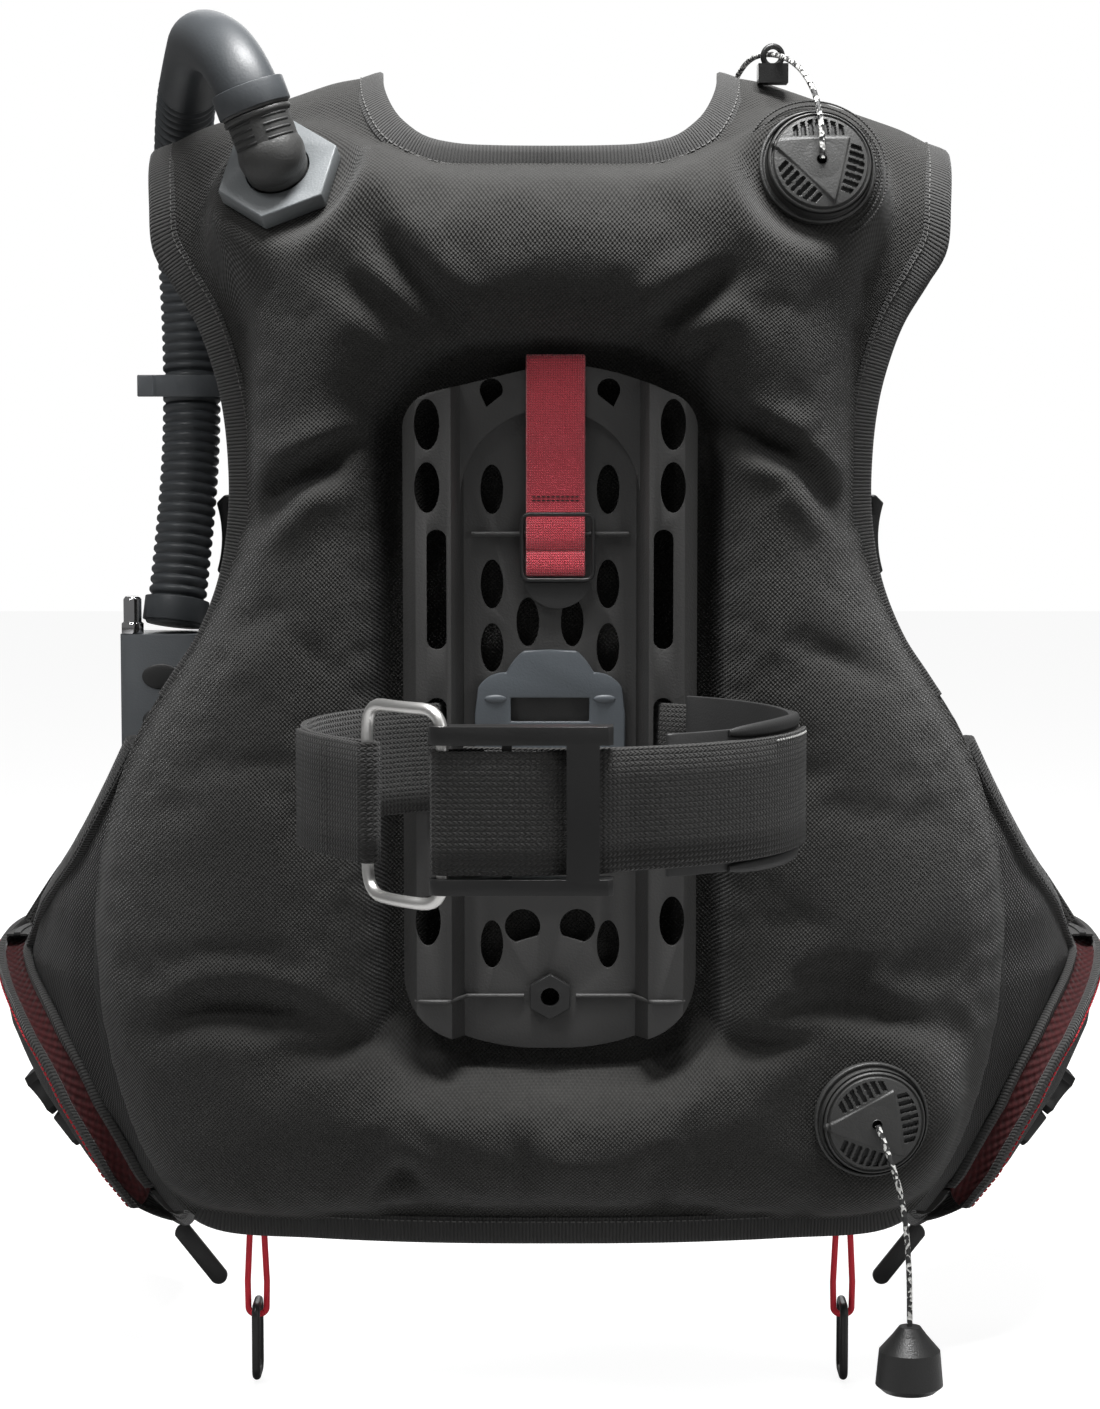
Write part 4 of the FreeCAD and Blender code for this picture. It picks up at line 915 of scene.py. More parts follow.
# %% Creases in the swollen bag
CREASES = [
    ([(-77, 242), (-61, 221), (-42, 199)], 9.0, 6.5), ([(-92, 223), (-76, 209), (-57, 193)], 7.0, 6.0),
    ([(-80, 149), (-95, 147), (-110, 141)], 6.0, 4.0), ([(-92, 140), (-113, 134), (-136, 121)], 15.0, 6.0),
    ([(-117, 124), (-128, 118), (-139, 107)], 9.0, 5.0),
    ([(82, 225), (64, 212), (43, 199)], 8.5, 6.5), ([(75, 194), (70, 190), (63, 184)], 4.0, 5.0),
    ([(78, 156), (95, 151), (113, 143)], 13.0, 5.5), ([(92, 147), (103, 143), (114, 139)], 6.0, 4.0),
    ([(110, 140), (120, 132), (134, 115)], 11.0, 5.5),
    ([(-186, -128), (-158, -114), (-121, -114), (-93, -120)], 8.0, 7.0),
    ([(-128, -131), (-98, -130), (-74, -126)], 5.0, 6.5),
    ([(-83, -205), (-68, -186), (-56, -202)], 7.0, 5.0), ([(-13, -166), (-11, -200)], 3.0, 6.0),
    ([(100, -114), (130, -111), (184, -127)], 8.0, 6.5), ([(107, -97), (128, -96), (149, -102)], 4.0, 7.0),
    ([(66, -128), (95, -128), (127, -125)], 6.0, 6.5), ([(112, -200), (124, -219)], 6.0, 6.0),
    ([(47, -183), (54, -208)], 5.0, 6.0),
    ([(-150, 60), (-120, 75)], 2.5, 9.0), ([(150, 40), (118, 58)], 2.5, 9.0),
]
CREASE_GAIN, BULGE_GAIN = 1.7, 0.34


def crease_depth(points):
    """How deep the creases are at each point, in millimetres."""
    deep = np.zeros(len(points))
    for line, depth, width in CREASES:
        bent = np.array(flat_line(line))
        gap, share = nearest_on(points, bent, closed=False)
        ends = np.clip(np.sin(math.pi * np.clip(share, 0.02, 0.98)), 0, 1) ** 0.6
        deep += CREASE_GAIN * depth * ends * np.exp(-(gap / (0.9 * width)) ** 1.5)
        deep -= BULGE_GAIN * depth * ends * np.exp(-((gap - 2.1 * width) / (1.3 * width)) ** 2)
    return deep


# %% How far the bag swells
SWELL_TALL, SWELL_REACH, WELD_REACH = 43, 34, 40.0
BODY_SWELL, BODY_REACH = 14.0, 60.0
SKIN = 1.7


def swell(points):
    """Swelling of the outer face and of the wearer's face at each flat point."""
    real = np.array([(x, height_of(x, w)) for x, w in points])
    edge, round_at = nearest_on(real, core)
    inner, inner_at = nearest_on(real, weld)
    in_core = is_inside(real, core) & (points[:, 1] < 330)
    in_weld = is_inside(real, weld)
    z = real[:, 1]
    reach = SWELL_REACH + 22 * smoothstep(60, -40, z) - 8 * smoothstep(-150, -200, z)
    tall = SWELL_TALL + 4 * smoothstep(120, 20, z) - 4 * smoothstep(-120, -180, z)
    outer = tall * dome(edge, reach) * dome(inner, WELD_REACH)
    pucker = np.sin(round_at * 2 * math.pi * 95) * np.exp(-(edge / 13.0) ** 2)
    pucker += 0.7 * np.sin(inner_at * 2 * math.pi * 52 + 1.3) * np.exp(-(inner / 12.0) ** 2)
    drift = np.array([noise.noise(Vector((x / 46.0, w / 46.0, 3.7))) for x, w in points])
    outer += 0.55 * pucker + 2.2 * drift * dome(edge, 40) * dome(inner, 40)
    outer -= crease_depth(real)
    outer = np.where(in_core & ~in_weld, np.maximum(outer, 0.0), 0.0)
    body_side = np.where(in_core & ~in_weld, BODY_SWELL * dome(edge, BODY_REACH), 0.0)
    free = np.where(in_core & ~in_weld, np.minimum(edge, inner), 0.0)
    flap = 3.2 * smoothstep(300, 330, points[:, 1]) * smoothstep(0, 26, nearest_on(points, pattern)[0])
    centre = np.where(in_weld, -1.0, 0.0)
    return outer + SKIN + flap + centre, body_side + SKIN + flap, free


# %% Cut the slab, remesh it and let air in
VOXEL = 4.6
SIM_FRAMES = 20
LARGEST_MOVE = 7.0


def cut_slab(outline, thickness):
    """A thin flat solid in the XZ plane, in millimetres, from a closed outline."""
    bm = bmesh.new()
    verts = [bm.verts.new((x, -thickness, w)) for x, w in outline]
    face = bm.faces.new(verts)
    made = bmesh.ops.extrude_face_region(bm, geom=[face])
    moved = [g for g in made["geom"] if isinstance(g, bmesh.types.BMVert)]
    bmesh.ops.translate(bm, vec=(0, 2 * thickness, 0), verts=moved)
    bmesh.ops.recalc_face_normals(bm, faces=bm.faces)
    mesh = bpy.data.meshes.new("slab")
    bm.to_mesh(mesh)
    bm.free()
    return mesh


def remeshed(mesh, voxel):
    """The slab as even squares."""
    holder = bpy.data.objects.new("slab", mesh)
    scene.collection.objects.link(holder)
    change = holder.modifiers.new("even", "REMESH")
    change.mode = "VOXEL"
    change.voxel_size = voxel
    seen = bpy.context.evaluated_depsgraph_get()
    even = bpy.data.meshes.new_from_object(holder.evaluated_get(seen))
    bpy.data.objects.remove(holder)
    return even


def points_of(mesh):
    """The mesh's points as an array."""
    flat = np.empty(len(mesh.vertices) * 3)
    mesh.vertices.foreach_get("co", flat)
    return flat.reshape(-1, 3)


def let_air_in(mesh, held, frames, pressure, largest, shrink=-0.012):
    """Swell the mesh as cloth with some points held, and give back how each point moves, in metres."""
    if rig.quick():
        return np.zeros((len(mesh.vertices), 3))
    start = points_of(mesh)
    holder = bpy.data.objects.new("airbag", mesh)
    scene.collection.objects.link(holder)
    group = holder.vertex_groups.new(name="held")
    for index, weight in enumerate(held):
        if weight > 0.01:
            group.add([index], float(weight), "REPLACE")
    cloth = holder.modifiers.new("air", "CLOTH")
    cloth.settings.quality = 4
    cloth.settings.mass = 0.15
    cloth.settings.vertex_group_mass = "held"
    cloth.settings.use_pressure = True
    cloth.settings.uniform_pressure_force = pressure
    cloth.settings.shrink_min = shrink
    cloth.settings.tension_stiffness = 20
    cloth.settings.compression_stiffness = 20
    cloth.settings.bending_stiffness = 0.35
    cloth.settings.effector_weights.gravity = 0
    cloth.collision_settings.use_collision = False
    cloth.point_cache.frame_start = 1
    cloth.point_cache.frame_end = frames
    for number in range(1, frames + 1):
        scene.frame_set(number)
    seen = bpy.context.evaluated_depsgraph_get()
    air = bpy.data.meshes.new_from_object(holder.evaluated_get(seen))
    move = points_of(air) - start
    bpy.data.objects.remove(holder)
    bpy.data.meshes.remove(air)
    scene.frame_set(1)
    size = np.linalg.norm(move, axis=1, keepdims=True)
    print("largest move", round(float(size.max()) / MM, 1), "mm, kept to", largest)
    return move * np.minimum(1.0, largest * MM / np.maximum(size, 1e-9))


slab = remeshed(cut_slab(pattern, SLAB_HALF), VOXEL)
flat_points = points_of(slab)
print("slab points", len(flat_points))

# %% Swell the slab
side = np.clip(flat_points[:, 1] / SLAB_HALF, -1.0, 1.0)
pattern_points = flat_points[:, [0, 2]]
outer_swell, inner_swell, free_reach = swell(pattern_points)
swollen = np.where(side < 0, outer_swell * side, inner_swell * side)
start = np.column_stack([pattern_points[:, 0], swollen, pattern_points[:, 1]])
slab.vertices.foreach_set("co", (start * MM).ravel())
slab.update()
creased = np.clip(crease_depth(np.array([(x, height_of(x, w)) for x, w in pattern_points])) / 8.0, 0, 1)
held = np.maximum(1.0 - smoothstep(2.0, 12.0, free_reach), smoothstep(0.45, 0.8, creased))
moves = let_air_in(slab.copy(), held, SIM_FRAMES, 4.0, LARGEST_MOVE) / MM
swollen_points = start + moves
print("swell", round(float(outer_swell.max()), 1), "mm at most")

# %% Bend it round the wearer
REAR_VALVE = ((147.5, 94.0, -162.0), (0.15, -0.985, -0.03))
SHOULDER_VALVE = ((121.0, 112.0, 272.0), (0.12, -0.95, 0.28))
ELBOW = ((-122.7, 122.0, 268.0), (-0.2, -0.77, 0.6))
SEAT_REACHES = ((REAR_VALVE, 29.0, 62.0, 0.5), (SHOULDER_VALVE, 28.0, 46.0, 0.5), (ELBOW, 31.0, 48.0, 1.2))
VALVE_SEATS = [(Vector(at), Vector(way).normalized(), inner, outer, below)
               for (at, way), inner, outer, below in SEAT_REACHES]


def seated(point, weight):
    """Draw the cloth to the flange of a valve that stands near."""
    for at, out, inner, outer, below in VALVE_SEATS:
        away = point - at
        rise = away.dot(out)
        radius = (away - out * rise).length
        if radius < outer and abs(rise) < 70:
            pull = (1.0 - float(smoothstep(inner, outer, radius))) * weight
            point = point - out * (rise + below) * pull
    return point


edge_reach = nearest_on(pattern_points, pattern)[0]
bent = []
for (x, depth, w), where, reach in zip(swollen_points, side, edge_reach):
    point = on_vest(x, w, -depth)
    if where < -0.5:
        point = seated(point, float(smoothstep(3, 14, reach)))
    bent.append(point)
slab.vertices.foreach_set("co", (np.array(bent) * MM).ravel())
flat_layer = slab.attributes.new("flat", "FLOAT_VECTOR", "POINT")
flat_layer.data.foreach_set("vector", (np.column_stack([pattern_points, side]) * MM).ravel())
slab.materials.clear()
slab.materials.append(SHELL_CLOTH)
slab.shade_smooth()
shell = bpy.data.objects.new("vest_shell", slab)
scene.collection.objects.link(shell)
rounder = shell.modifiers.new("rounder", "SUBSURF")
rounder.levels = rounder.render_levels = 1
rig.ride(shell, "shell")
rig.replaces(shell, "bladder_shell", "shoulder_panel_left", "shoulder_panel_right")
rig.slot(shell, "bladder_fabric")
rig.padded(shell, fill=0.9)
print("vest shell", len(slab.polygons), "faces")

# %% [markdown]
# ## Binding tape
# The raw edge of the vest is wrapped in ribbed tape, sewn down with a row of small stitches. A flat
# ribbon would float or sink where the edge curves, so the tape is drawn as a cross-section that hugs
# the edge at every station of the pattern, and bends with it.

# %% Tape and stitches along a pattern line
TAPE_SECTION = [(11.9, 1.1), (11.5, 2.6), (8.0, 2.9), (3.0, 2.9), (0.3, 2.6), (-1.1, 1.4), (-1.1, -1.4),
                (0.3, -2.6), (3.0, -2.9), (8.0, -2.9), (11.5, -2.6), (11.9, -1.1)]


def inward_at(line, k, closed=False):
    """Direction across a clockwise pattern line, towards its inside."""
    last = len(line) - 1
    before = Vector(line[max(k - 1, 0)]) if not closed else Vector(line[k - 1])
    after = Vector(line[min(k + 1, last)]) if not closed else Vector(line[(k + 1) % len(line)])
    ahead = (after - before).normalized()
    return Vector((ahead.y, -ahead.x))


def tape_along(line, name, section=TAPE_SECTION, place=on_vest, body="shell", closed=False):
    """Binding tape wrapped round an edge of the pattern."""
    stations = []
    for k, (x, w) in enumerate(line):
        inward = inward_at(line, k, closed)
        stations.append([place(x + inward.x * reach, w + inward.y * reach, out) for reach, out in section])
    if closed:
        stations.append(stations[0])
    return sweep(stations, name, BINDING, body, closed)


def stitch_row(places, name, material, body, length=2.0, width=0.55, every=3.1):
    """A row of short threads; places are (point, outward) pairs in millimetres, close together."""
    bm = bmesh.new()
    run, next_at = 0.0, every / 2
    for (a, out), (b, after) in zip(places, places[1:]):
        step = (b - a).length
        while next_at <= run + step and step > 1e-6:
            at = a.lerp(b, (next_at - run) / step)
            ahead = (b - a).normalized()
            across = out.cross(ahead).normalized()
            turn = Matrix((ahead, across, out)).transposed().to_4x4()
            stretch = Matrix.Diagonal((length, width, width, 1.0))
            shape = Matrix.Scale(MM, 4) @ Matrix.Translation(at) @ turn @ stretch
            bmesh.ops.create_cube(bm, size=1.0, matrix=shape)
            next_at += every
        run += step
    return finish_piece(bm, name, material, body)


def edge_places(line, reach, out, place=on_vest, closed=False):
    """Points a fixed way in from a pattern line, with the direction away from the cloth."""
    found = []
    for k, (x, w) in enumerate(line):
        inward = inward_at(line, k, closed)
        low = place(x + inward.x * reach, w + inward.y * reach, out)
        high = place(x + inward.x * reach, w + inward.y * reach, out + math.copysign(1.0, out))
        found.append((low, (high - low).normalized()))
    return found


# %% Which part of the outline is bound
right_start = min(range(len(pattern)), key=lambda k: math.dist(pattern[k], (186, 26)))
left_start = min(range(len(pattern)), key=lambda k: math.dist(pattern[k], (-186, 26)))
upper_edge = pattern[left_start:] + pattern[:right_start + 1]
hem_right = min(range(len(pattern)), key=lambda k: math.dist(pattern[k], (172, -222)))
hem_left = min(range(len(pattern)), key=lambda k: math.dist(pattern[k], (-172, -222)))
hem_edge = pattern[hem_right:hem_left + 1]
upper_tape = tape_along(upper_edge, "upper_binding")
hem_tape = tape_along(hem_edge, "hem_binding")
for tape in (upper_tape, hem_tape):
    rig.slot(tape, "webbing")
stitch_row(edge_places(upper_edge, 9.6, 3.0), "upper_stitches", GREY_THREAD, "shell")
stitch_row(edge_places(hem_edge, 9.6, 3.0), "hem_stitches", GREY_THREAD, "shell")
stitch_row(edge_places(upper_edge, 9.6, -3.0), "upper_stitches_inside", BLACK_THREAD, "shell")
print("bound edge points", len(upper_edge), len(hem_edge))

# %% [markdown]
# ## Side wings
# A wing is a flat padded flap that runs from the side seam round the wearer's waist. Its upper edge
# slopes down from the armpit to the belly. It could be modelled as a block and cut, but it is a sheet
# with thickness: a grid follows the curved plan at every height, and gets its lining by solidify. Where
# it leaves the side seam it bends with the body of the vest.

# %% The wing's curved surface
WING_LEVELS = [
    (4, (206, 200), (212, 210), (216, 222)),
    (-47, (220, 200), (238, 236), (242, 290)),
    (-85, (224, 199), (256, 256), (252, 340)),
    (-116, (225, 198), (268, 280), (250, 392)),
    (-150, (222, 198), (262, 280), (243, 395)),
    (-180, (215, 198), (246, 268), (228, 385)),
    (-213, (201, 198), (218, 245), (198, 345)),
    (-230, (188, 197), (197, 225), (182, 300)),
    (-248, (166, 197), (174, 225), (164, 290)),
]


def arc_at(z):
    """Centre, radius, first angle, turn and length of the wing's plan arc at a height."""
    z = min(max(z, WING_LEVELS[-1][0]), WING_LEVELS[0][0])
    k = max(i for i in range(len(WING_LEVELS) - 1) if WING_LEVELS[i][0] >= z)
    upper, lower = WING_LEVELS[k], WING_LEVELS[k + 1]
    t = (upper[0] - z) / (upper[0] - lower[0])
    a, b, c = [Vector(p).lerp(Vector(q), t) for p, q in zip(upper[1:], lower[1:])]
    ab, ac = b - a, c - a
    area = 2 * ab.cross(ac)
    centre = a + Vector((ac.y * ab.length_squared - ab.y * ac.length_squared,
                         ab.x * ac.length_squared - ac.x * ab.length_squared)) / area
    radius = (a - centre).length
    first = math.atan2(*(a - centre).yx)
    turn = (math.atan2(*(c - centre).yx) - first + math.pi) % (2 * math.pi) - math.pi
    return centre, radius, first, turn, abs(turn) * radius


def on_wing(hand, a, z, out=0.0):
    """Place on the wing, a millimetres round from the side seam; out lies away from the wearer."""
    centre, radius, first, turn, length = arc_at(z)
    angle = first + turn * a / length
    reach = radius + out
    return Vector((hand * (centre.x + reach * math.cos(angle)), centre.y + reach * math.sin(angle), z))


WING_TOP = [(0, 4), (10, -20), (27, -47), (50, -66), (75, -83), (97, -99), (118, -112), (160, -119),
            (203, -124)]
WING_FOOT = [(0, -231), (20, -231), (60, -229), (98, -225), (128, -217), (158, -205), (182, -186),
             (197, -156)]
top_line = flat_line(WING_TOP)
foot_line = flat_line(WING_FOOT)


def at_share(line, share):
    """Point at a share of a line's points."""
    place = share * (len(line) - 1)
    k = min(int(place), len(line) - 2)
    return Vector(line[k]).lerp(Vector(line[k + 1]), place - k)


def face_out(bm, inside):
    """Turn the faces of an open sheet away from a point inside the vest, in millimetres."""
    bm.normal_update()
    middle = Vector(inside) * MM
    score = sum(f.normal.dot(f.calc_center_median() - middle) for f in bm.faces)
    if score < 0:
        bmesh.ops.reverse_faces(bm, faces=bm.faces)


def give_lining(piece, lining, thick):
    """Thickness with another cloth on the inner side."""
    piece.data.materials.append(lining)
    wall = piece.modifiers.new("wall", "SOLIDIFY")
    wall.thickness = thick * MM
    wall.offset = -1.0
    wall.material_offset = 1
    wall.material_offset_rim = 0
    return piece


WING_COLUMNS, WING_ROWS = 64, 56
ROOT_COLUMNS = 8
BELLY = (0, 330, -120)


def seam_place(hand, z):
    """Where the wing is sewn to the wearer's face of the vest, at a height."""
    edge = max(x for x, w in side_edge if abs(w - z) < 6.0)
    spot = on_vest(hand * (edge - 5.0), z, -2.6)
    return Vector((spot.x, spot.y, z))


side_edge = [(x, w) for x, w in pattern if x > 0 and -246 < w < 40]
print("side seam", [round(v) for v in seam_place(1, -110)],
      "wing root", [round(v) for v in on_wing(1, 0, -110)])


def make_wing(hand, label):
    """One side wing with its lining."""
    def place(i, j):
        if i < ROOT_COLUMNS:
            root = place(ROOT_COLUMNS, j)[0]
            share = 1.0 - i / ROOT_COLUMNS
            return root.lerp(seam_place(hand, max(root.z, -222.0)), share), root.z, -30.0 * share
        i = i - ROOT_COLUMNS
        upper = at_share(top_line, i / WING_COLUMNS)
        lower = at_share(foot_line, i / WING_COLUMNS)
        a, z = upper.lerp(lower, j / WING_ROWS)
        rumple = noise.noise(Vector((a / 38.0, z / 30.0, hand * 5.0)))
        ripple = noise.noise(Vector((a / 14.0, z / 60.0, hand * 9.0)))
        out = -1.6 + 1.5 * rumple + 0.5 * ripple
        return on_wing(hand, a, z, out), z, a
    bm = grid_piece(ROOT_COLUMNS + WING_COLUMNS, WING_ROWS, place)
    face_out(bm, BELLY)
    wing = finish_piece(bm, f"wing_{label}", WING_CLOTH_PAINTED_SHADE)
    give_lining(wing, LINING, 4.6)
    seam = on_wing(hand, 2, -110) * MM
    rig.blend(wing, "shell", f"wing_{label}", start=seam, end=on_wing(hand, 34, -110) * MM)
    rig.replaces(wing, f"wing_panel_{label}")
    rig.slot(wing, "bladder_fabric")
    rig.padded(wing, fill=0.3)
    return wing


for hand, label in HANDS:
    make_wing(hand, label)

# %% Binding of the wings
WING_TAPE = [(10.6, -5.2), (10.2, -6.4), (5.0, -6.9), (0.0, -6.6), (-1.4, -4.8), (-1.4, -1.2), (0.0, 0.8),
             (5.0, 1.5), (10.2, 1.2), (10.6, 0.0)]


def wing_edge():
    """The free edge of a wing from the armpit round to the foot of the side seam."""
    (top_a, top_z), (foot_a, foot_z) = top_line[-1], foot_line[-1]
    front = [(top_a * (1 - t) + foot_a * t, top_z * (1 - t) + foot_z * t)
             for t in (0.12, 0.25, 0.4, 0.6, 0.75, 0.88)]
    whole = top_line + front + foot_line[::-1]
    return [(p.x, p.y) for p in even_line([(a, z, 0) for a, z in whole], 4.0)]


free_edge = wing_edge()
for hand, label in HANDS:
    def along_wing(a, z, out, hand=hand):
        """The wing's surface as a place for tape."""
        return on_wing(hand, a, z, out)
    tape = tape_along(free_edge, f"wing_binding_{label}", WING_TAPE, along_wing, None)
    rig.blend(tape, "shell", f"wing_{label}", start=on_wing(hand, 2, -110) * MM,
             end=on_wing(hand, 34, -110) * MM)
    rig.slot(tape, "webbing")
    stitches = stitch_row(edge_places(free_edge, 8.8, 1.5, along_wing), f"wing_stitches_{label}",
                          BLACK_THREAD, None)
    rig.blend(stitches, "shell", f"wing_{label}", start=on_wing(hand, 2, -110) * MM,
             end=on_wing(hand, 34, -110) * MM)
print("free edge", len(free_edge), "points")

# %% [markdown]
# ## Pockets
# A pocket is a pouch sewn on a wing. Its rear edge is open to a gusset of dark red spacer mesh between
# two bound edges: one on the wing, one on the outer panel. So it is made of two sheets, the outer panel,
# which bulges and is sewn down at its foot and front, and the gusset, with three tapes along their edges.

# %% Pocket panels
GUSSET_INNER = [(0, -219), (4, -205), (12, -183), (22, -163), (36, -147), (54, -134), (76, -124),
                (98, -116), (120, -110)]
GUSSET_OUTER = [(6, -229), (9, -209), (16, -188), (26, -168), (40, -151), (58, -138), (80, -127),
                (102, -118), (124, -111)]
POUCH_TOP = GUSSET_OUTER + [(150, -108), (175, -108), (197, -112)]
POUCH_FOOT = [(12, -236), (22, -241), (45, -244), (80, -243), (112, -236), (140, -222), (166, -204),
              (184, -180), (197, -146)]
POUCH_OUT, POUCH_FROM = 15.0, 2.6
POUCH_COLUMNS, POUCH_ROWS = 60, 44
GUSSET_COLUMNS, GUSSET_ROWS = 50, 8
inner_line = flat_line(GUSSET_INNER)
outer_line = flat_line(GUSSET_OUTER)
pouch_top = flat_line(POUCH_TOP)
pouch_foot = flat_line(POUCH_FOOT)


def make_pocket(hand, label):
    """The pouch, its gusset and its bound edges on one wing."""
    body = f"wing_{label}"

    def pouch_place(i, j):
        upper, lower = at_share(pouch_top, i / POUCH_COLUMNS), at_share(pouch_foot, i / POUCH_COLUMNS)
        a, z = upper.lerp(lower, j / POUCH_ROWS)
        down = (1 - j / POUCH_ROWS) * (upper - lower).length
        front = max(197 - a, 0.0)
        fullness = float(dome(down, 22.0) * dome(front, 26.0))
        rumple = noise.noise(Vector((a / 30.0, z / 26.0, 3.0 * hand)))
        out = POUCH_FROM + (POUCH_OUT - POUCH_FROM) * fullness + 0.9 * rumple * fullness
        return on_wing(hand, a, z, out), z, a

    def gusset_place(i, j):
        inner, outer = at_share(inner_line, i / GUSSET_COLUMNS), at_share(outer_line, i / GUSSET_COLUMNS)
        down = j / GUSSET_ROWS
        a, z = inner.lerp(outer, down)
        sag = 2.4 * math.sin(math.pi * down)
        return on_wing(hand, a + sag, z - sag, 0.8 + (POUCH_OUT - 1.2) * down), i * 3.0, j * 2.0

    bm = grid_piece(POUCH_COLUMNS, POUCH_ROWS, pouch_place)
    face_out(bm, BELLY)
    pouch = finish_piece(bm, f"pocket_pouch_{label}", WING_CLOTH_PAINTED_SHADE, body)
    give_lining(pouch, LINING, 2.0)
    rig.replaces(pouch, f"pocket_{label}")
    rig.slot(pouch, "bladder_fabric")
    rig.padded(pouch, fill=0.5)
    bm = grid_piece(GUSSET_COLUMNS, GUSSET_ROWS, gusset_place)
    face_out(bm, BELLY)
    gusset = finish_piece(bm, f"pocket_gusset_{label}", RED_MESH, body)
    give_lining(gusset, LINING, 1.2)
    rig.slot(gusset, "red_webbing")

    def on_skin(a, z, out):
        return on_wing(hand, a, z, out)

    def on_pouch(a, z, out):
        return on_wing(hand, a, z, out + POUCH_OUT)
    rim = [(4.2, -1.6), (4.0, 2.0), (2.0, 3.0), (-1.2, 2.6), (-2.4, 0.8), (-2.2, -1.2), (0.0, -2.0)]
    tape_along(inner_line, f"pocket_rear_binding_{label}", rim, on_skin, body)
    edge = [(9.0, -1.6), (9.0, 1.0), (5.0, 1.6), (0.6, 1.6), (-1.8, 0.6), (-2.0, -1.8), (0.5, -3.2),
            (5.0, -3.0)]
    tape_along(pouch_top, f"pocket_edge_binding_{label}", edge, on_pouch, body)
    low = [(6.0, -1.4), (6.0, 1.2), (3.0, 1.8), (-1.2, 1.4), (-2.0, 0.2), (-1.8, -1.4), (1.0, -2.0)]

    def on_foot(a, z, out):
        return on_wing(hand, a, z, out + 3.2)
    tape_along(pouch_foot[::-1], f"pocket_foot_binding_{label}", low, on_foot, body)
    stitch_row(edge_places(inner_line, 6.2, 1.2, on_skin), f"pocket_red_stitches_{label}", RED_THREAD, body)
    stitch_row(edge_places(outer_line, 3.4, 2.0, on_pouch), f"pocket_edge_stitches_{label}", RED_THREAD,
               body, 2.2, 0.7)


for hand, label in HANDS:
    make_pocket(hand, label)

# %% [markdown]
# ## Back pad
# The wearer's side of the plate is covered by a stuffed pad with sewn channels. It is swollen from a
# slab in the same way as the vest's shell, and the channels are drawn in afterwards.

# %% Swollen pad
PAD_HALF = [(0, 188), (30, 184), (50, 178), (66, 164), (72, 146), (72, -94), (66, -118), (48, -130),
            (24, -135), (0, -136)]
PAD_MIDDLE, PAD_DEEP = 128.2, 7.6
PAD_CHANNELS = [120, 58, -4, -66]
PAD_SLAB_HALF, PAD_VOXEL, PAD_FRAMES = 5.0, 5.6, 12


def make_back_pad():
    """The pad against the wearer's back."""
    outline = rounded_outline(PAD_HALF, 6.0)
    mesh = remeshed(cut_slab(outline, PAD_SLAB_HALF), PAD_VOXEL)
    at = points_of(mesh)
    plan = at[:, [0, 2]]
    reach = nearest_on(plan, outline)[0]
    way = np.clip(at[:, 1] / PAD_SLAB_HALF, -1, 1)
    groove = sum(2.6 * np.exp(-((plan[:, 1] - level) / 4.5) ** 2) for level in PAD_CHANNELS)
    groove += 2.2 * np.exp(-(plan[:, 0] / 5.0) ** 2)
    deep = 1.4 + (PAD_DEEP - 2.4) * dome(reach, 16.0) - np.minimum(groove, 3.0) * (way > 0)
    start = np.column_stack([plan[:, 0], way * deep, plan[:, 1]]) * MM
    mesh.vertices.foreach_set("co", start.ravel())
    moves = let_air_in(mesh.copy(), 1.0 - smoothstep(1.0, 9.0, reach) + (groove > 1.3), PAD_FRAMES, 3.0, 1.6)
    bent = start + moves
    bent[:, 1] += (PAD_MIDDLE + plan[:, 0] ** 2 / 700.0) * MM
    mesh.vertices.foreach_set("co", bent.ravel())
    layer = mesh.attributes.new("flat", "FLOAT_VECTOR", "POINT")
    layer.data.foreach_set("vector", (np.column_stack([plan, way]) * MM).ravel())
    mesh.materials.clear()
    mesh.materials.append(PAD_CLOTH)
    mesh.shade_smooth()
    pad = bpy.data.objects.new("back_cushion", mesh)
    scene.collection.objects.link(pad)
    rounder = pad.modifiers.new("rounder", "SUBSURF")
    rounder.levels = rounder.render_levels = 1
    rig.ride(pad, "shell")
    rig.replaces(pad, "back_pad")
    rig.slot(pad, "pad_fabric")
    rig.padded(pad, fill=0.6)
    print("back pad", len(mesh.polygons), "faces")


make_back_pad()

# %% [markdown]
# ## Straps
# A strap is flat woven tape that bends only across its width. Each one is drawn as a thin section with
# soft edges that follows a line of points, so the weave runs along it and turns with it.

# %% A strap along a line


def strap_along(points, across_at, width, thick, name, material, body, edge=0.7):
    """Flat tape along points in millimetres; across_at gives the direction of its width at a point."""
    stations = []
    half, rise = width / 2, thick / 2
    section = [(-half, 0), (-half + edge * 0.4, rise * 0.7), (-half + edge, rise), (-half / 2, rise), (0, rise),
               (half / 2, rise), (half - edge, rise), (half - edge * 0.4, rise * 0.7), (half, 0),
               (half - edge * 0.4, -rise * 0.7), (half - edge, -rise), (half / 2, -rise), (0, -rise),
               (-half / 2, -rise), (-half + edge, -rise), (-half + edge * 0.4, -rise * 0.7)]
    for k, point in enumerate(points):
        ahead = (points[min(k + 1, len(points) - 1)] - points[max(k - 1, 0)]).normalized()
        across = Vector(across_at(k) if callable(across_at) else across_at)
        across = (across - ahead * across.dot(ahead)).normalized()
        up = across.cross(ahead)
        stations.append([point + across * s + up * h for s, h in section])
    return sweep(stations, name, material, body)


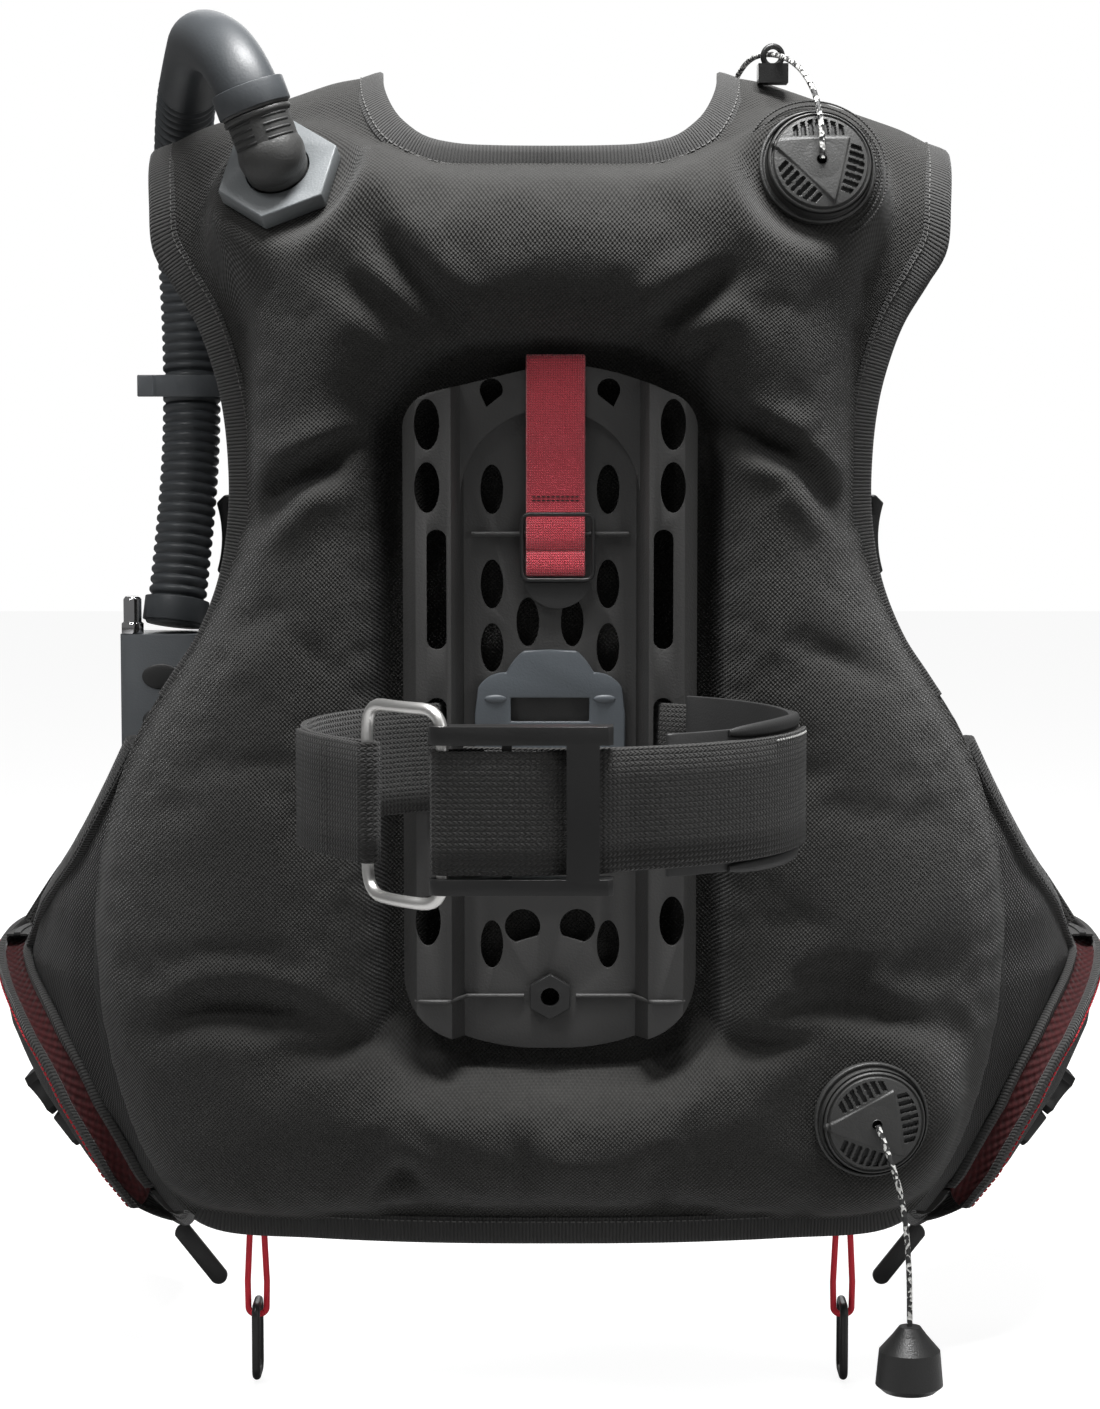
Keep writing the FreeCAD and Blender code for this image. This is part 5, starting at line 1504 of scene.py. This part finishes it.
def round_corners(points, radius, closed=False, parts=6):
    """The same line of corners with each one rounded by a smooth bend."""
    points = [Vector(p) for p in points]
    count = len(points)
    out = [] if closed else [points[0]]
    for k in range(count if closed else count - 2):
        before, corner, after = (points[k], points[(k + 1) % count], points[(k + 2) % count])
        back, front = before - corner, after - corner
        reach = min(radius, 0.48 * back.length, 0.48 * front.length)
        start, end = corner + back.normalized() * reach, corner + front.normalized() * reach
        for part in range(parts + 1):
            t = part / parts
            out.append(start * (1 - t) ** 2 + corner * 2 * t * (1 - t) + end * t * t)
    if closed:
        out.append(out[0])
    else:
        out.append(points[-1])
    return out


# %% Tank band and its tail
BAND_MIDDLE_Z, BAND_WIDE, BAND_THICK = 5.5, 49.5, 2.4
BAND_RADIUS, TAIL_RADIUS, BAND_END_RADIUS = 105.5, 108.5, 108.6
LINK_BEND = 4.1
UP = (0, 0, 1)


def round_tank(radius, angle, level=BAND_MIDDLE_Z):
    """Point beside the tank, at an angle from the front towards the wearer's right."""
    turn = math.radians(angle)
    return Vector((radius * math.sin(turn), -radius * math.cos(turn), level))


LINK_ROD = Vector((-74.0, -79.0, BAND_MIDDLE_Z))
radial = Vector((LINK_ROD.x, LINK_ROD.y, 0)).normalized()
round_way = Vector((-radial.y, radial.x, 0))
band_line = [round_tank(BAND_RADIUS, a) for a in range(-19, 152, 5)]
band_line += [Vector((46.0, 115.2, BAND_MIDDLE_Z)), Vector((-46.0, 115.2, BAND_MIDDLE_Z))]
band_line += [round_tank(BAND_RADIUS, a) for a in range(-151, -50, 5)]
for angle in range(0, 181, 20):
    turn = math.radians(angle)
    band_line.append(LINK_ROD - radial * LINK_BEND * math.cos(turn) + round_way * LINK_BEND * math.sin(turn))
band_line += [round_tank(BAND_END_RADIUS, a) for a in range(-53, -79, -4)]
band = strap_along(round_corners(band_line, 6.0, parts=3), UP, BAND_WIDE, BAND_THICK, "tank_strap", BLACK_STRAP,
                   "shell")
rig.replaces(band, "tank_band")
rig.slot(band, "webbing")

tail_line = [(-26, -109.9), (-36, -109.9), (-42.5, -110.0), (-45.6, -111.4), (-46.5, -114),
             (-45.6, -116.8), (-42.5, -118.1), (-30, -118.5), (-16, -118.6), (-4, -118.3),
             (1.5, -116.6), (6, -114.8), (13, -114.2), (20, -112.4)]
tail_points = [Vector((x, y, BAND_MIDDLE_Z)) for x, y in tail_line]
tail_points += [round_tank(TAIL_RADIUS, a) for a in range(17, 83, 5)]
tail = strap_along(round_corners(tail_points, 5.0, parts=3), UP, BAND_WIDE, BAND_THICK, "strap_tail",
                   BLACK_STRAP, "cam_lever")
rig.replaces(tail, "band_tail")
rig.slot(tail, "webbing")


def across_stitches(name, angles, radius, material, body, low=-17.0, high=28.0, every=3.0):
    """Rows of stitches up the strap at some angles round the tank."""
    for number, angle in enumerate(angles):
        out = round_tank(1.0, angle, 0.0)
        places = [(round_tank(radius, angle, z), out) for z in np.arange(low, high, 2.0)]
        stitch_row(places, f"{name}_{number}", material, body, 1.7, 0.6, every)


across_stitches("loop_stitches", (-57.0, -59.0), 109.9, GREY_THREAD, "shell")
white_row = [(round_tank(TAIL_RADIUS + 1.4, angle, 28.4), round_tank(1.0, angle, 0.0))
             for angle in np.arange(58.0, 81.0, 1.0)]
stitch_row(white_row, "tail_stitches", WHITE_THREAD, "cam_lever", 1.0, 0.6, 2.6)


def pad_lip(name, level, sign):
    """A soft lip of the rubber pad that curls over the edge of the strap."""
    stations = []
    for share in np.linspace(0.0, 1.0, 25):
        turn = round_tank(1.0, 44.0 + 54.0 * share, 0.0)
        swollen = 0.35 + 0.65 * math.sin(math.pi * min(share * 1.15, 1.0)) ** 0.5
        middle = round_tank(104.6, 44.0 + 54.0 * share, level)
        stations.append([middle + turn * 2.6 * swollen * math.cos(a) + Vector((0, 0, sign * 3.4 * swollen))
                         * math.sin(a) for a in np.linspace(0, 2 * math.pi, 12, endpoint=False)])
    return sweep(stations, name, RUBBER, "shell")


pad_lip("pad_lip_top", 33.2, 1)
pad_lip("pad_lip_foot", -22.4, -1)

# %% Red strap over the plate
RED_LINE = [(116.3, 150), (116.3, 187.4), (103.2, 187.4), (103.2, 152), (105.9, 140), (106.4, 122),
            (105.2, 115.5), (103.5, 111), (103.3, 104.5), (104.6, 100.4), (106.2, 99.0), (104.4, 97.4),
            (103.3, 93.5), (103.9, 89.2), (105.9, 87.6), (107.6, 88.8)]
RED_MIDDLE = 2.5
red_points = round_corners([(RED_MIDDLE, y, z) for y, z in RED_LINE], 3.0, parts=4)
red_strap = strap_along(red_points, (1, 0, 0), 27.0, 1.6, "pull_strap", RED_STRAP, "shell")
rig.replaces(red_strap, "valve_strap")
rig.slot(red_strap, "red_webbing")
for number, level in enumerate((123.5, 121.8)):
    row = [(Vector((RED_MIDDLE + x, 105.4, level)), Vector((0, -1, 0))) for x in range(-11, 12, 2)]
    stitch_row(row, f"pull_strap_stitches_{number}", BLACK_THREAD, "shell", 1.5, 0.6, 2.2)


def wire_loop(points, radius, name, material, body, corner, sides=12):
    """A closed frame of round wire with rounded corners, points in millimetres."""
    line = [p * MM for p in round_corners(points, corner, closed=True)]
    stations = []
    last = len(line) - 1
    middle = sum((p for p in line[:-1]), Vector()) / last
    for k in range(last):
        ahead = (line[(k + 1) % last] - line[k - 1]).normalized()
        side = (line[k] - middle)
        side = (side - ahead * side.dot(ahead)).normalized()
        up = ahead.cross(side)
        angles = [2 * math.pi * n / sides for n in range(sides)]
        stations.append([(line[k] + (side * math.cos(a) + up * math.sin(a)) * radius * MM) / MM
                         for a in angles])
    stations.append(stations[0])
    return sweep(stations, name, material, body, closed_path=True)


slider_corners = [(RED_MIDDLE - 15.4, 104.4, 85.6), (RED_MIDDLE - 15.4, 104.4, 115.6),
                  (RED_MIDDLE + 17.2, 104.4, 115.6), (RED_MIDDLE + 17.2, 104.4, 85.6)]
slider = wire_loop(slider_corners, 0.95, "slider_wire", BUCKLE, "shell", 4.0)
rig.replaces(slider, "strap_slider")
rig.slot(slider, "buckle_plastic")
link_corners = [(-74, -79, -32), (-74, -79, 46), (-60, -100.5, 46), (-42.5, -114, 46), (-42.5, -114, -32),
                (-60, -100.5, -32)]
link = wire_loop(link_corners, 2.5, "link_wire", STEEL, "link_ring", 14.0, 16)
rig.replaces(link, "link_ring")
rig.slot(link, "stainless")

# %% Shoulder webbing from the buckles to the wings
WEBBING_ROUTE = [(146, 289.7, 62), (146, 289.7, 40), (146, 289.7, 20), (214, 289.7, -54), (238, 290, -82),
                 (256, 292, -110)]


def make_shoulder_webbing(hand, label):
    """Webbing from the shoulder plug down to the wing."""
    route = [(hand * x, y, z) for x, y, z in WEBBING_ROUTE]
    points = even_line(round_corners(route, 14.0), 4.0)

    def across(k):
        ahead = (points[min(k + 1, len(points) - 1)] - points[max(k - 1, 0)]).normalized()
        return ahead.cross(Vector((0, 1, 0)))
    web = strap_along(points, across, 38.0, 2.2, f"shoulder_strap_{label}", BLACK_STRAP, None)
    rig.replaces(web, f"shoulder_webbing_{label}")
    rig.slot(web, "webbing")
    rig.blend(web, "shell", f"wing_{label}", start=Vector((hand * 150, 283, 10)) * MM,
             end=Vector((hand * 250, 288, -100)) * MM)


for hand, label in HANDS:
    make_shoulder_webbing(hand, label)

# %% [markdown]
# ## Hard parts
# Moulded parts never have knife edges. The CAD meshes could be given a bevel node in their material, but
# a real rounded edge also catches the light when the model is exported, so each part is copied, merged
# and bevelled along its sharp edges.

# %% Softened copies of the moulded parts
SLOT_OF = {row["node"]: row["material_slot"] for row in frame["record"]["subparts"]}
BODY_OF = {node: body for body, nodes in frame["record"]["behaviour"]["bodies"].items() for node in nodes}


def softened(node, width, angle=35.0, segments=2):
    """A copy of a CAD part with rounded edges, which stands in for it."""
    bm = bmesh.new()
    source = frame["nodes"][node]
    bm.from_mesh(source.data)
    bm.transform(source.matrix_world)
    bmesh.ops.remove_doubles(bm, verts=bm.verts, dist=0.00002)
    bmesh.ops.dissolve_limit(bm, angle_limit=math.radians(1.0), verts=bm.verts, edges=bm.edges)
    sharp = [e for e in bm.edges if len(e.link_faces) == 2 and e.calc_face_angle(0.0) > math.radians(angle)]
    bmesh.ops.bevel(bm, geom=sharp, offset=width * MM, offset_type="OFFSET", affect="EDGES", segments=segments,
                    profile=0.5, material=-1, clamp_overlap=True)
    bmesh.ops.recalc_face_normals(bm, faces=bm.faces)
    piece = finish_piece(bm, f"soft_{node}", NODE_FINISH[node], BODY_OF[node], 30.0)
    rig.replaces(piece, node)
    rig.slot(piece, SLOT_OF[node])
    return piece


SOFT_PARTS = {
    "back_plate": 0.9, "band_guide": 0.7, "band_pad": 0.8, "cam_lever": 0.8, "elbow_base": 0.9,
    "hose_collars": 0.6, "inflator_body": 1.8, "mouthpiece": 0.8, "hose_clip": 0.6, "rear_dump_base": 0.6,
    "shoulder_dump_base": 0.6, "plate_insert": 0.3, "lp_nipple": 0.25, "inflate_button": 0.7,
    "deflate_button": 0.7,
}
for part, width in PAIRED_SOFTENING.items():
    for _, label in HANDS:
        SOFT_PARTS[f"{part}_{label}"] = width
for node, width in SOFT_PARTS.items():
    softened(node, width)

# %% Bosses on the guide and ribs on the plate


def pebble(centre, half_sizes, name, material, body, turn=None):
    """A flattened ball, half sizes in millimetres."""
    bm = bmesh.new()
    bmesh.ops.create_uvsphere(bm, u_segments=24, v_segments=12, radius=MM)
    shape = Matrix.Diagonal((*half_sizes, 1.0))
    if turn is not None:
        shape = turn.to_4x4() @ shape
    bm.transform(Matrix.Translation(Vector(centre) * MM) @ shape)
    return finish_piece(bm, name, material, body)


for hand, label in HANDS:
    pebble((hand * 25.0, 104.2, 31.0), (5.2, 1.3, 2.0), f"guide_boss_{label}", GUIDE, "shell")


RIB_SECTION = ((-0.5, -0.4), (-0.42, 0.7), (-0.25, 1.0), (0.25, 1.0), (0.42, 0.7), (0.5, -0.4))


def strip_between(points, width, rise, name, material, body, out=(0, -1, 0)):
    """A low rounded rib along points in millimetres, standing out in one direction."""
    stations = []
    out = Vector(out)
    for k, point in enumerate(points):
        ahead = (points[min(k + 1, len(points) - 1)] - points[max(k - 1, 0)]).normalized()
        side = ahead.cross(out).normalized()
        stations.append([point + side * s * width + out * h * rise for s, h in RIB_SECTION])
    return sweep(stations, name, material, body, crease=60.0)


PLATE_RIBS = {
    "upper": [(-36, 107.4, 106.5), (36, 107.4, 106.5)],
    "lower": [(-62, 94.6, -107.5), (-56, 92.2, -107.5), (-46, 92.2, -107.5), (-38, 108.6, -107.5),
              (-12, 108.6, -107.5)],
    "lower_right": [(12, 108.6, -107.5), (38, 108.6, -107.5), (46, 92.2, -107.5), (56, 92.2, -107.5),
                    (62, 94.6, -107.5)],
}
for name, corners in PLATE_RIBS.items():
    line = round_corners(corners, 2.0, parts=3)
    strip_between(line, 2.2, 1.6, f"plate_rib_{name}", PLATE, "shell")

# %% [markdown]
# ## Dump valves
# The cap is a shallow dome with a flat three-cornered plate on it, and a row of slots outside each side
# of the plate. It is one turned sheet whose height is worked out point by point, so that plate, slots and
# rim all belong to one surface. The cloth round each valve is stitched down in rings.

# %% Valve caps
CAP_RINGS, CAP_TURN = 72, 216
CAP_TALL, CAP_DROP, CAP_SHOULDER = 13.0, 2.6, 22.0
CAP_WALL = ((24.5, 8.6), (24.2, 6.4), (24.5, 6.0), (24.5, 3.4), (21.8, 3.4), (21.8, 9.1), (2.2, 11.5))
VALVES = {"rear_dump": (*REAR_VALVE, 25.0), "shoulder_dump": (*SHOULDER_VALVE, 0.0)}
PLATE_SIDES = (225.0, 345.0, 92.0)
PLATE_REACH = 10.2
SLOT_PITCH, SLOT_HALF, SLOT_DEEP = 3.5, 0.95, 1.6


def valve_frame(at, way):
    """Place, sideways, upward and outward directions of a valve."""
    out = Vector(way).normalized()
    side = Vector((0, 0, 1)).cross(out).normalized()
    return Vector(at), side, out.cross(side), out


def cap_height(x, y):
    """Height of the cap over its foot at a place on it, and whether it lies in a slot."""
    reach = math.hypot(x, y)
    high = CAP_TALL - CAP_DROP * (reach / CAP_SHOULDER) ** 2
    high -= 1.4 * float(smoothstep(21.4, 22.0, reach)) - 0.9 * float(smoothstep(22.2, 22.9, reach))
    high -= 3.0 * max(reach - 23.2, 0.0) ** 2
    slot = False
    nearest = -99.0
    for angle in PLATE_SIDES:
        turn = math.radians(angle)
        outward = x * math.cos(turn) + y * math.sin(turn)
        along = -x * math.sin(turn) + y * math.cos(turn)
        nearest = max(nearest, outward - PLATE_REACH)
        inside = PLATE_REACH + 1.6 < outward and reach < 20.0 and abs(along) < 12.6
        if inside and abs((along + SLOT_PITCH / 2) % SLOT_PITCH - SLOT_PITCH / 2) < SLOT_HALF:
            slot = True
    high += (0.3 + 0.10 * max(reach - 9.0, 0.0)) * (1.0 - float(smoothstep(-0.3, 0.5, nearest)))
    return high - (SLOT_DEEP if slot else 0.0), slot


def make_cap(name, at, way, spin):
    """A slotted valve cap."""
    place, side, up, out = valve_frame(at, way)
    turn = math.radians(spin)
    radii = list(np.linspace(2.6, 24.4, CAP_RINGS))
    bm = bmesh.new()
    rings = []
    slotted = {}

    def add_ring(radius, level):
        ring = []
        for k in range(CAP_TURN):
            angle = 2 * math.pi * k / CAP_TURN
            x, y = radius * math.cos(angle), radius * math.sin(angle)
            slot = False
            if level is None:
                high, slot = cap_height(x, y)
            else:
                high = level
            x, y = x * math.cos(turn) - y * math.sin(turn), x * math.sin(turn) + y * math.cos(turn)
            vert = bm.verts.new((place + side * x + up * y + out * high) * MM)
            slotted[vert] = slot
            ring.append(vert)
        rings.append(ring)
    add_ring(2.2, 12.4)
    add_ring(2.4, 13.5)
    for radius in radii:
        add_ring(float(radius), None)
    for radius, level in CAP_WALL:
        add_ring(radius, level)
    for ring, after in zip(rings, rings[1:] + rings[:1]):
        for k in range(CAP_TURN):
            corners = (ring[k], ring[(k + 1) % CAP_TURN], after[(k + 1) % CAP_TURN], after[k])
            face = bm.faces.new(corners)
            # faces in a slot take the dark finish, as painted shade
            face.material_index = 1 if sum(slotted[v] for v in corners) >= 3 else 0
    bmesh.ops.recalc_face_normals(bm, faces=bm.faces)
    cap = finish_piece(bm, f"{name}_slotted_cap", VALVE, "shell", 34.0)
    cap.data.materials.append(DISC_AND_PAINTED_HOLE_SHADE)
    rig.replaces(cap, f"{name}_cap")
    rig.slot(cap, "valve_plastic")


def ring_round(name, at, way, radius, level, thick, material, body="shell"):
    """A thin ring round a valve's axis."""
    place, side, up, out = valve_frame(at, way)
    stations = []
    for k in range(73):
        angle = 2 * math.pi * (k % 72) / 72
        ray = side * math.cos(angle) + up * math.sin(angle)
        stations.append([place + ray * (radius + thick * math.cos(a)) + out * (level + thick * math.sin(a))
                         for a in np.linspace(0, 2 * math.pi, 8, endpoint=False)])
    return sweep(stations, name, material, body, closed_path=True, crease=60)


for name, (at, way, spin) in VALVES.items():
    make_cap(name, at, way, spin)
    ring_round(f"{name}_rim", at, way, 26.0, 3.0, 0.9, VALVE)
    for number, radius in enumerate((28.6, 31.0, 33.4)):
        ring_round(f"{name}_stitch_ring_{number}", at, way, radius, -1.4 - 0.5 * number, 0.45, BINDING)

# %% [markdown]
# ## Elbow, hose and inflator
# The hose is corrugated, except where the sleeve goes over its top bend. One tube whose radius changes
# along its line gives both. The elbow's vents are bars of painted shade let into its wall.

# %% Corrugated hose
ELBOW_AT, ELBOW_WAY = Vector(ELBOW[0]), Vector(ELBOW[1]).normalized()
TOP_WAY = Vector((-0.343, 0.005, 0.939)).normalized()
KNUCKLE_OUT = 17.0
KNUCKLE = ELBOW_AT + ELBOW_WAY * KNUCKLE_OUT
HOSE_POINTS = [KNUCKLE + TOP_WAY * 20.3, KNUCKLE + TOP_WAY * 46.0, Vector((-163, 160, 337)),
               Vector((-171, 207, 331)), Vector((-181, 250, 308)), Vector((-185, 281, 263)),
               Vector((-182, 286, 205)), Vector((-181, 277, 150)), Vector((-184, 266, 100)),
               Vector((-189, 258, 54.5))]
HOSE_RADIUS, CORRUGATION, RIB_DEEP = 14.6, 5.2, 1.5
SMOOTH_PART = 150.0
HOSE_STEP = 0.65
hose_route = spline_points([p * MM for p in HOSE_POINTS], 40)
hose_line = [p * MM for p in even_line([p / MM for p in hose_route], HOSE_STEP)]


def hose_radius(number):
    """Radius of the hose at a point of its line, ribbed beyond the sleeve."""
    run = number * HOSE_STEP
    if run < 4.0:
        return (HOSE_RADIUS + 0.6) * MM
    if run < SMOOTH_PART:
        return (HOSE_RADIUS - 0.1) * MM
    wave = 0.5 - 0.5 * math.cos(2 * math.pi * (run - SMOOTH_PART) / CORRUGATION)
    return (HOSE_RADIUS - RIB_DEEP * wave ** 2) * MM


hose = round_tube(hose_line, hose_radius, "corrugated_hose", HOSE, "shell", 36)
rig.replaces(hose, "hose")
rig.slot(hose, "hose_rubber")
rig.cord(hose, exit=hose_line[0], length=line_length(hose_line), diameter=2 * HOSE_RADIUS * MM, far_end="object",
        stiffness="stiff", lay="hanging", path=hose_line)
print("hose", round(line_length(hose_line), 3), "m")

# %% Vents and cuffs of the elbow
TOP_SIDE = TOP_WAY.cross(Vector((0, -1, 0))).normalized()
TOP_FRONT = TOP_SIDE.cross(TOP_WAY).normalized()


def arc_bar(name, level, first, last, radius, material):
    """A bar that follows the elbow's wall between two angles."""
    points = []
    for angle in np.linspace(math.radians(first), math.radians(last), 12):
        ray = TOP_FRONT * math.cos(angle) + TOP_SIDE * math.sin(angle)
        points.append(KNUCKLE + TOP_WAY * level + ray * radius)
    tube = [p * MM for p in points]
    return round_tube(tube, lambda k: 0.75 * MM, name, material, "shell", 8)


# The vents are dark bars of painted shade, standing for the shade inside each opening.
for number in range(4):
    arc_bar(f"elbow_vent_right_{number}", 6.0 + 3.3 * number, 8, 62, 14.25, DISC_AND_PAINTED_HOLE_SHADE)
    arc_bar(f"elbow_vent_left_{number}", 6.0 + 3.3 * number, -70, -14, 14.25, DISC_AND_PAINTED_HOLE_SHADE)
for level in (18.6, 21.4):
    stations = []
    for k in range(49):
        angle = 2 * math.pi * (k % 48) / 48
        ray = TOP_FRONT * math.cos(angle) + TOP_SIDE * math.sin(angle)
        stations.append([KNUCKLE + TOP_WAY * (level + 1.3 * math.sin(a)) + ray * (15.2 + 0.7 * math.cos(a))
                         for a in np.linspace(0, 2 * math.pi, 8, endpoint=False)])
    sweep(stations, f"elbow_cuff_{level:.0f}", VALVE, "shell", closed_path=True, crease=60)

# %% Grips of the inflator
GRIP_AT = (-194.0, 258.0)
for number, level in enumerate((30.0, 8.0, -14.0, -36.0, -56.0)):
    for face_sign, label in ((-1, "rear"), (1, "front")):
        if face_sign > 0 and number in (0, 1):
            continue
        pebble((GRIP_AT[0], GRIP_AT[1] + face_sign * 17.0, level), (9.5, 1.1, 6.4), f"grip_{label}_{number}",
               RUBBER, "shell")

# %% Zips of the pockets


def zip_row(hand, label):
    """Tape and teeth along the top of a pocket."""
    body = f"wing_{label}"
    line = [on_wing(hand, a, -109.5 - 0.02 * (a - 120), 8.2) for a in np.arange(112, 196, 2.0)]
    tape = strap_along(line, lambda k: Vector((line[k].x, line[k].y - 262.0, 0)).normalized(), 11.0, 1.0,
                       f"zip_tape_{label}", BINDING, body)
    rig.slot(tape, "webbing")
    bm = bmesh.new()
    for k, point in enumerate(line[:-1]):
        for part in (0.0, 0.5):
            at = point.lerp(line[k + 1], part)
            ahead = (line[k + 1] - point).normalized()
            out = Vector((0, 0, 1)).cross(ahead)
            made = bmesh.ops.create_cube(bm, size=1.0)
            shape = Matrix((ahead, out, Vector((0, 0, 1)))).transposed().to_4x4()
            sizes = Matrix.Diagonal((0.62 * MM, 3.4 * MM, 1.1 * MM, 1.0))
            bmesh.ops.transform(bm, matrix=Matrix.Translation((at + Vector((0, 0, 0.8))) * MM) @ shape @ sizes,
                                verts=made["verts"])
    bmesh.ops.recalc_face_normals(bm, faces=bm.faces)
    finish_piece(bm, f"zip_teeth_{label}", BUCKLE, body)


for hand, label in HANDS:
    zip_row(hand, label)

# %% [markdown]
# ## Floor and sizes
# A pale floor just under the lowest ring takes a faint shadow. The last lines write down the size of the
# CAD model and of the finished vest, so that one can be checked against the other.

# %% Floor
FLOOR_AT = -0.3016
FLOOR_SHINE = 0.88
FLOOR_HALF = 6.0


def lay_floor():
    """A wide pale floor that isn't part of the vest."""
    bm = bmesh.new()
    bmesh.ops.create_grid(bm, x_segments=1, y_segments=1, size=FLOOR_HALF)
    bmesh.ops.translate(bm, vec=(0, 0, FLOOR_AT), verts=bm.verts)
    made = bpy.data.materials.new("pale floor")
    made.use_nodes = True
    shader = made.node_tree.nodes["Principled BSDF"]
    shader.inputs["Base Color"].default_value = (0.30, 0.30, 0.30, 1.0)
    shader.inputs["Roughness"].default_value = 0.9
    seen = add_node(made.node_tree, "LightPath")
    shine = maths(made.node_tree, "MULTIPLY", seen.outputs["Is Camera Ray"], FLOOR_SHINE)
    made.node_tree.links.new(shine, shader.inputs["Emission Strength"])
    shader.inputs["Emission Color"].default_value = (1.0, 1.0, 1.0, 1.0)
    floor = finish_piece(bm, "floor", made)
    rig.stage(floor)


lay_floor()

# %% Sizes and the end
visual_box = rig.bounds()
with open("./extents.json", "w") as size_file:
    json.dump({"cad": [list(CAD_BOX[0]), list(CAD_BOX[1])],
               "visual": [list(visual_box[0]), list(visual_box[1])]}, size_file)
print("largest growth", [round((b - a) / MM, 1) for a, b in zip(CAD_BOX[1], visual_box[1])], "mm")
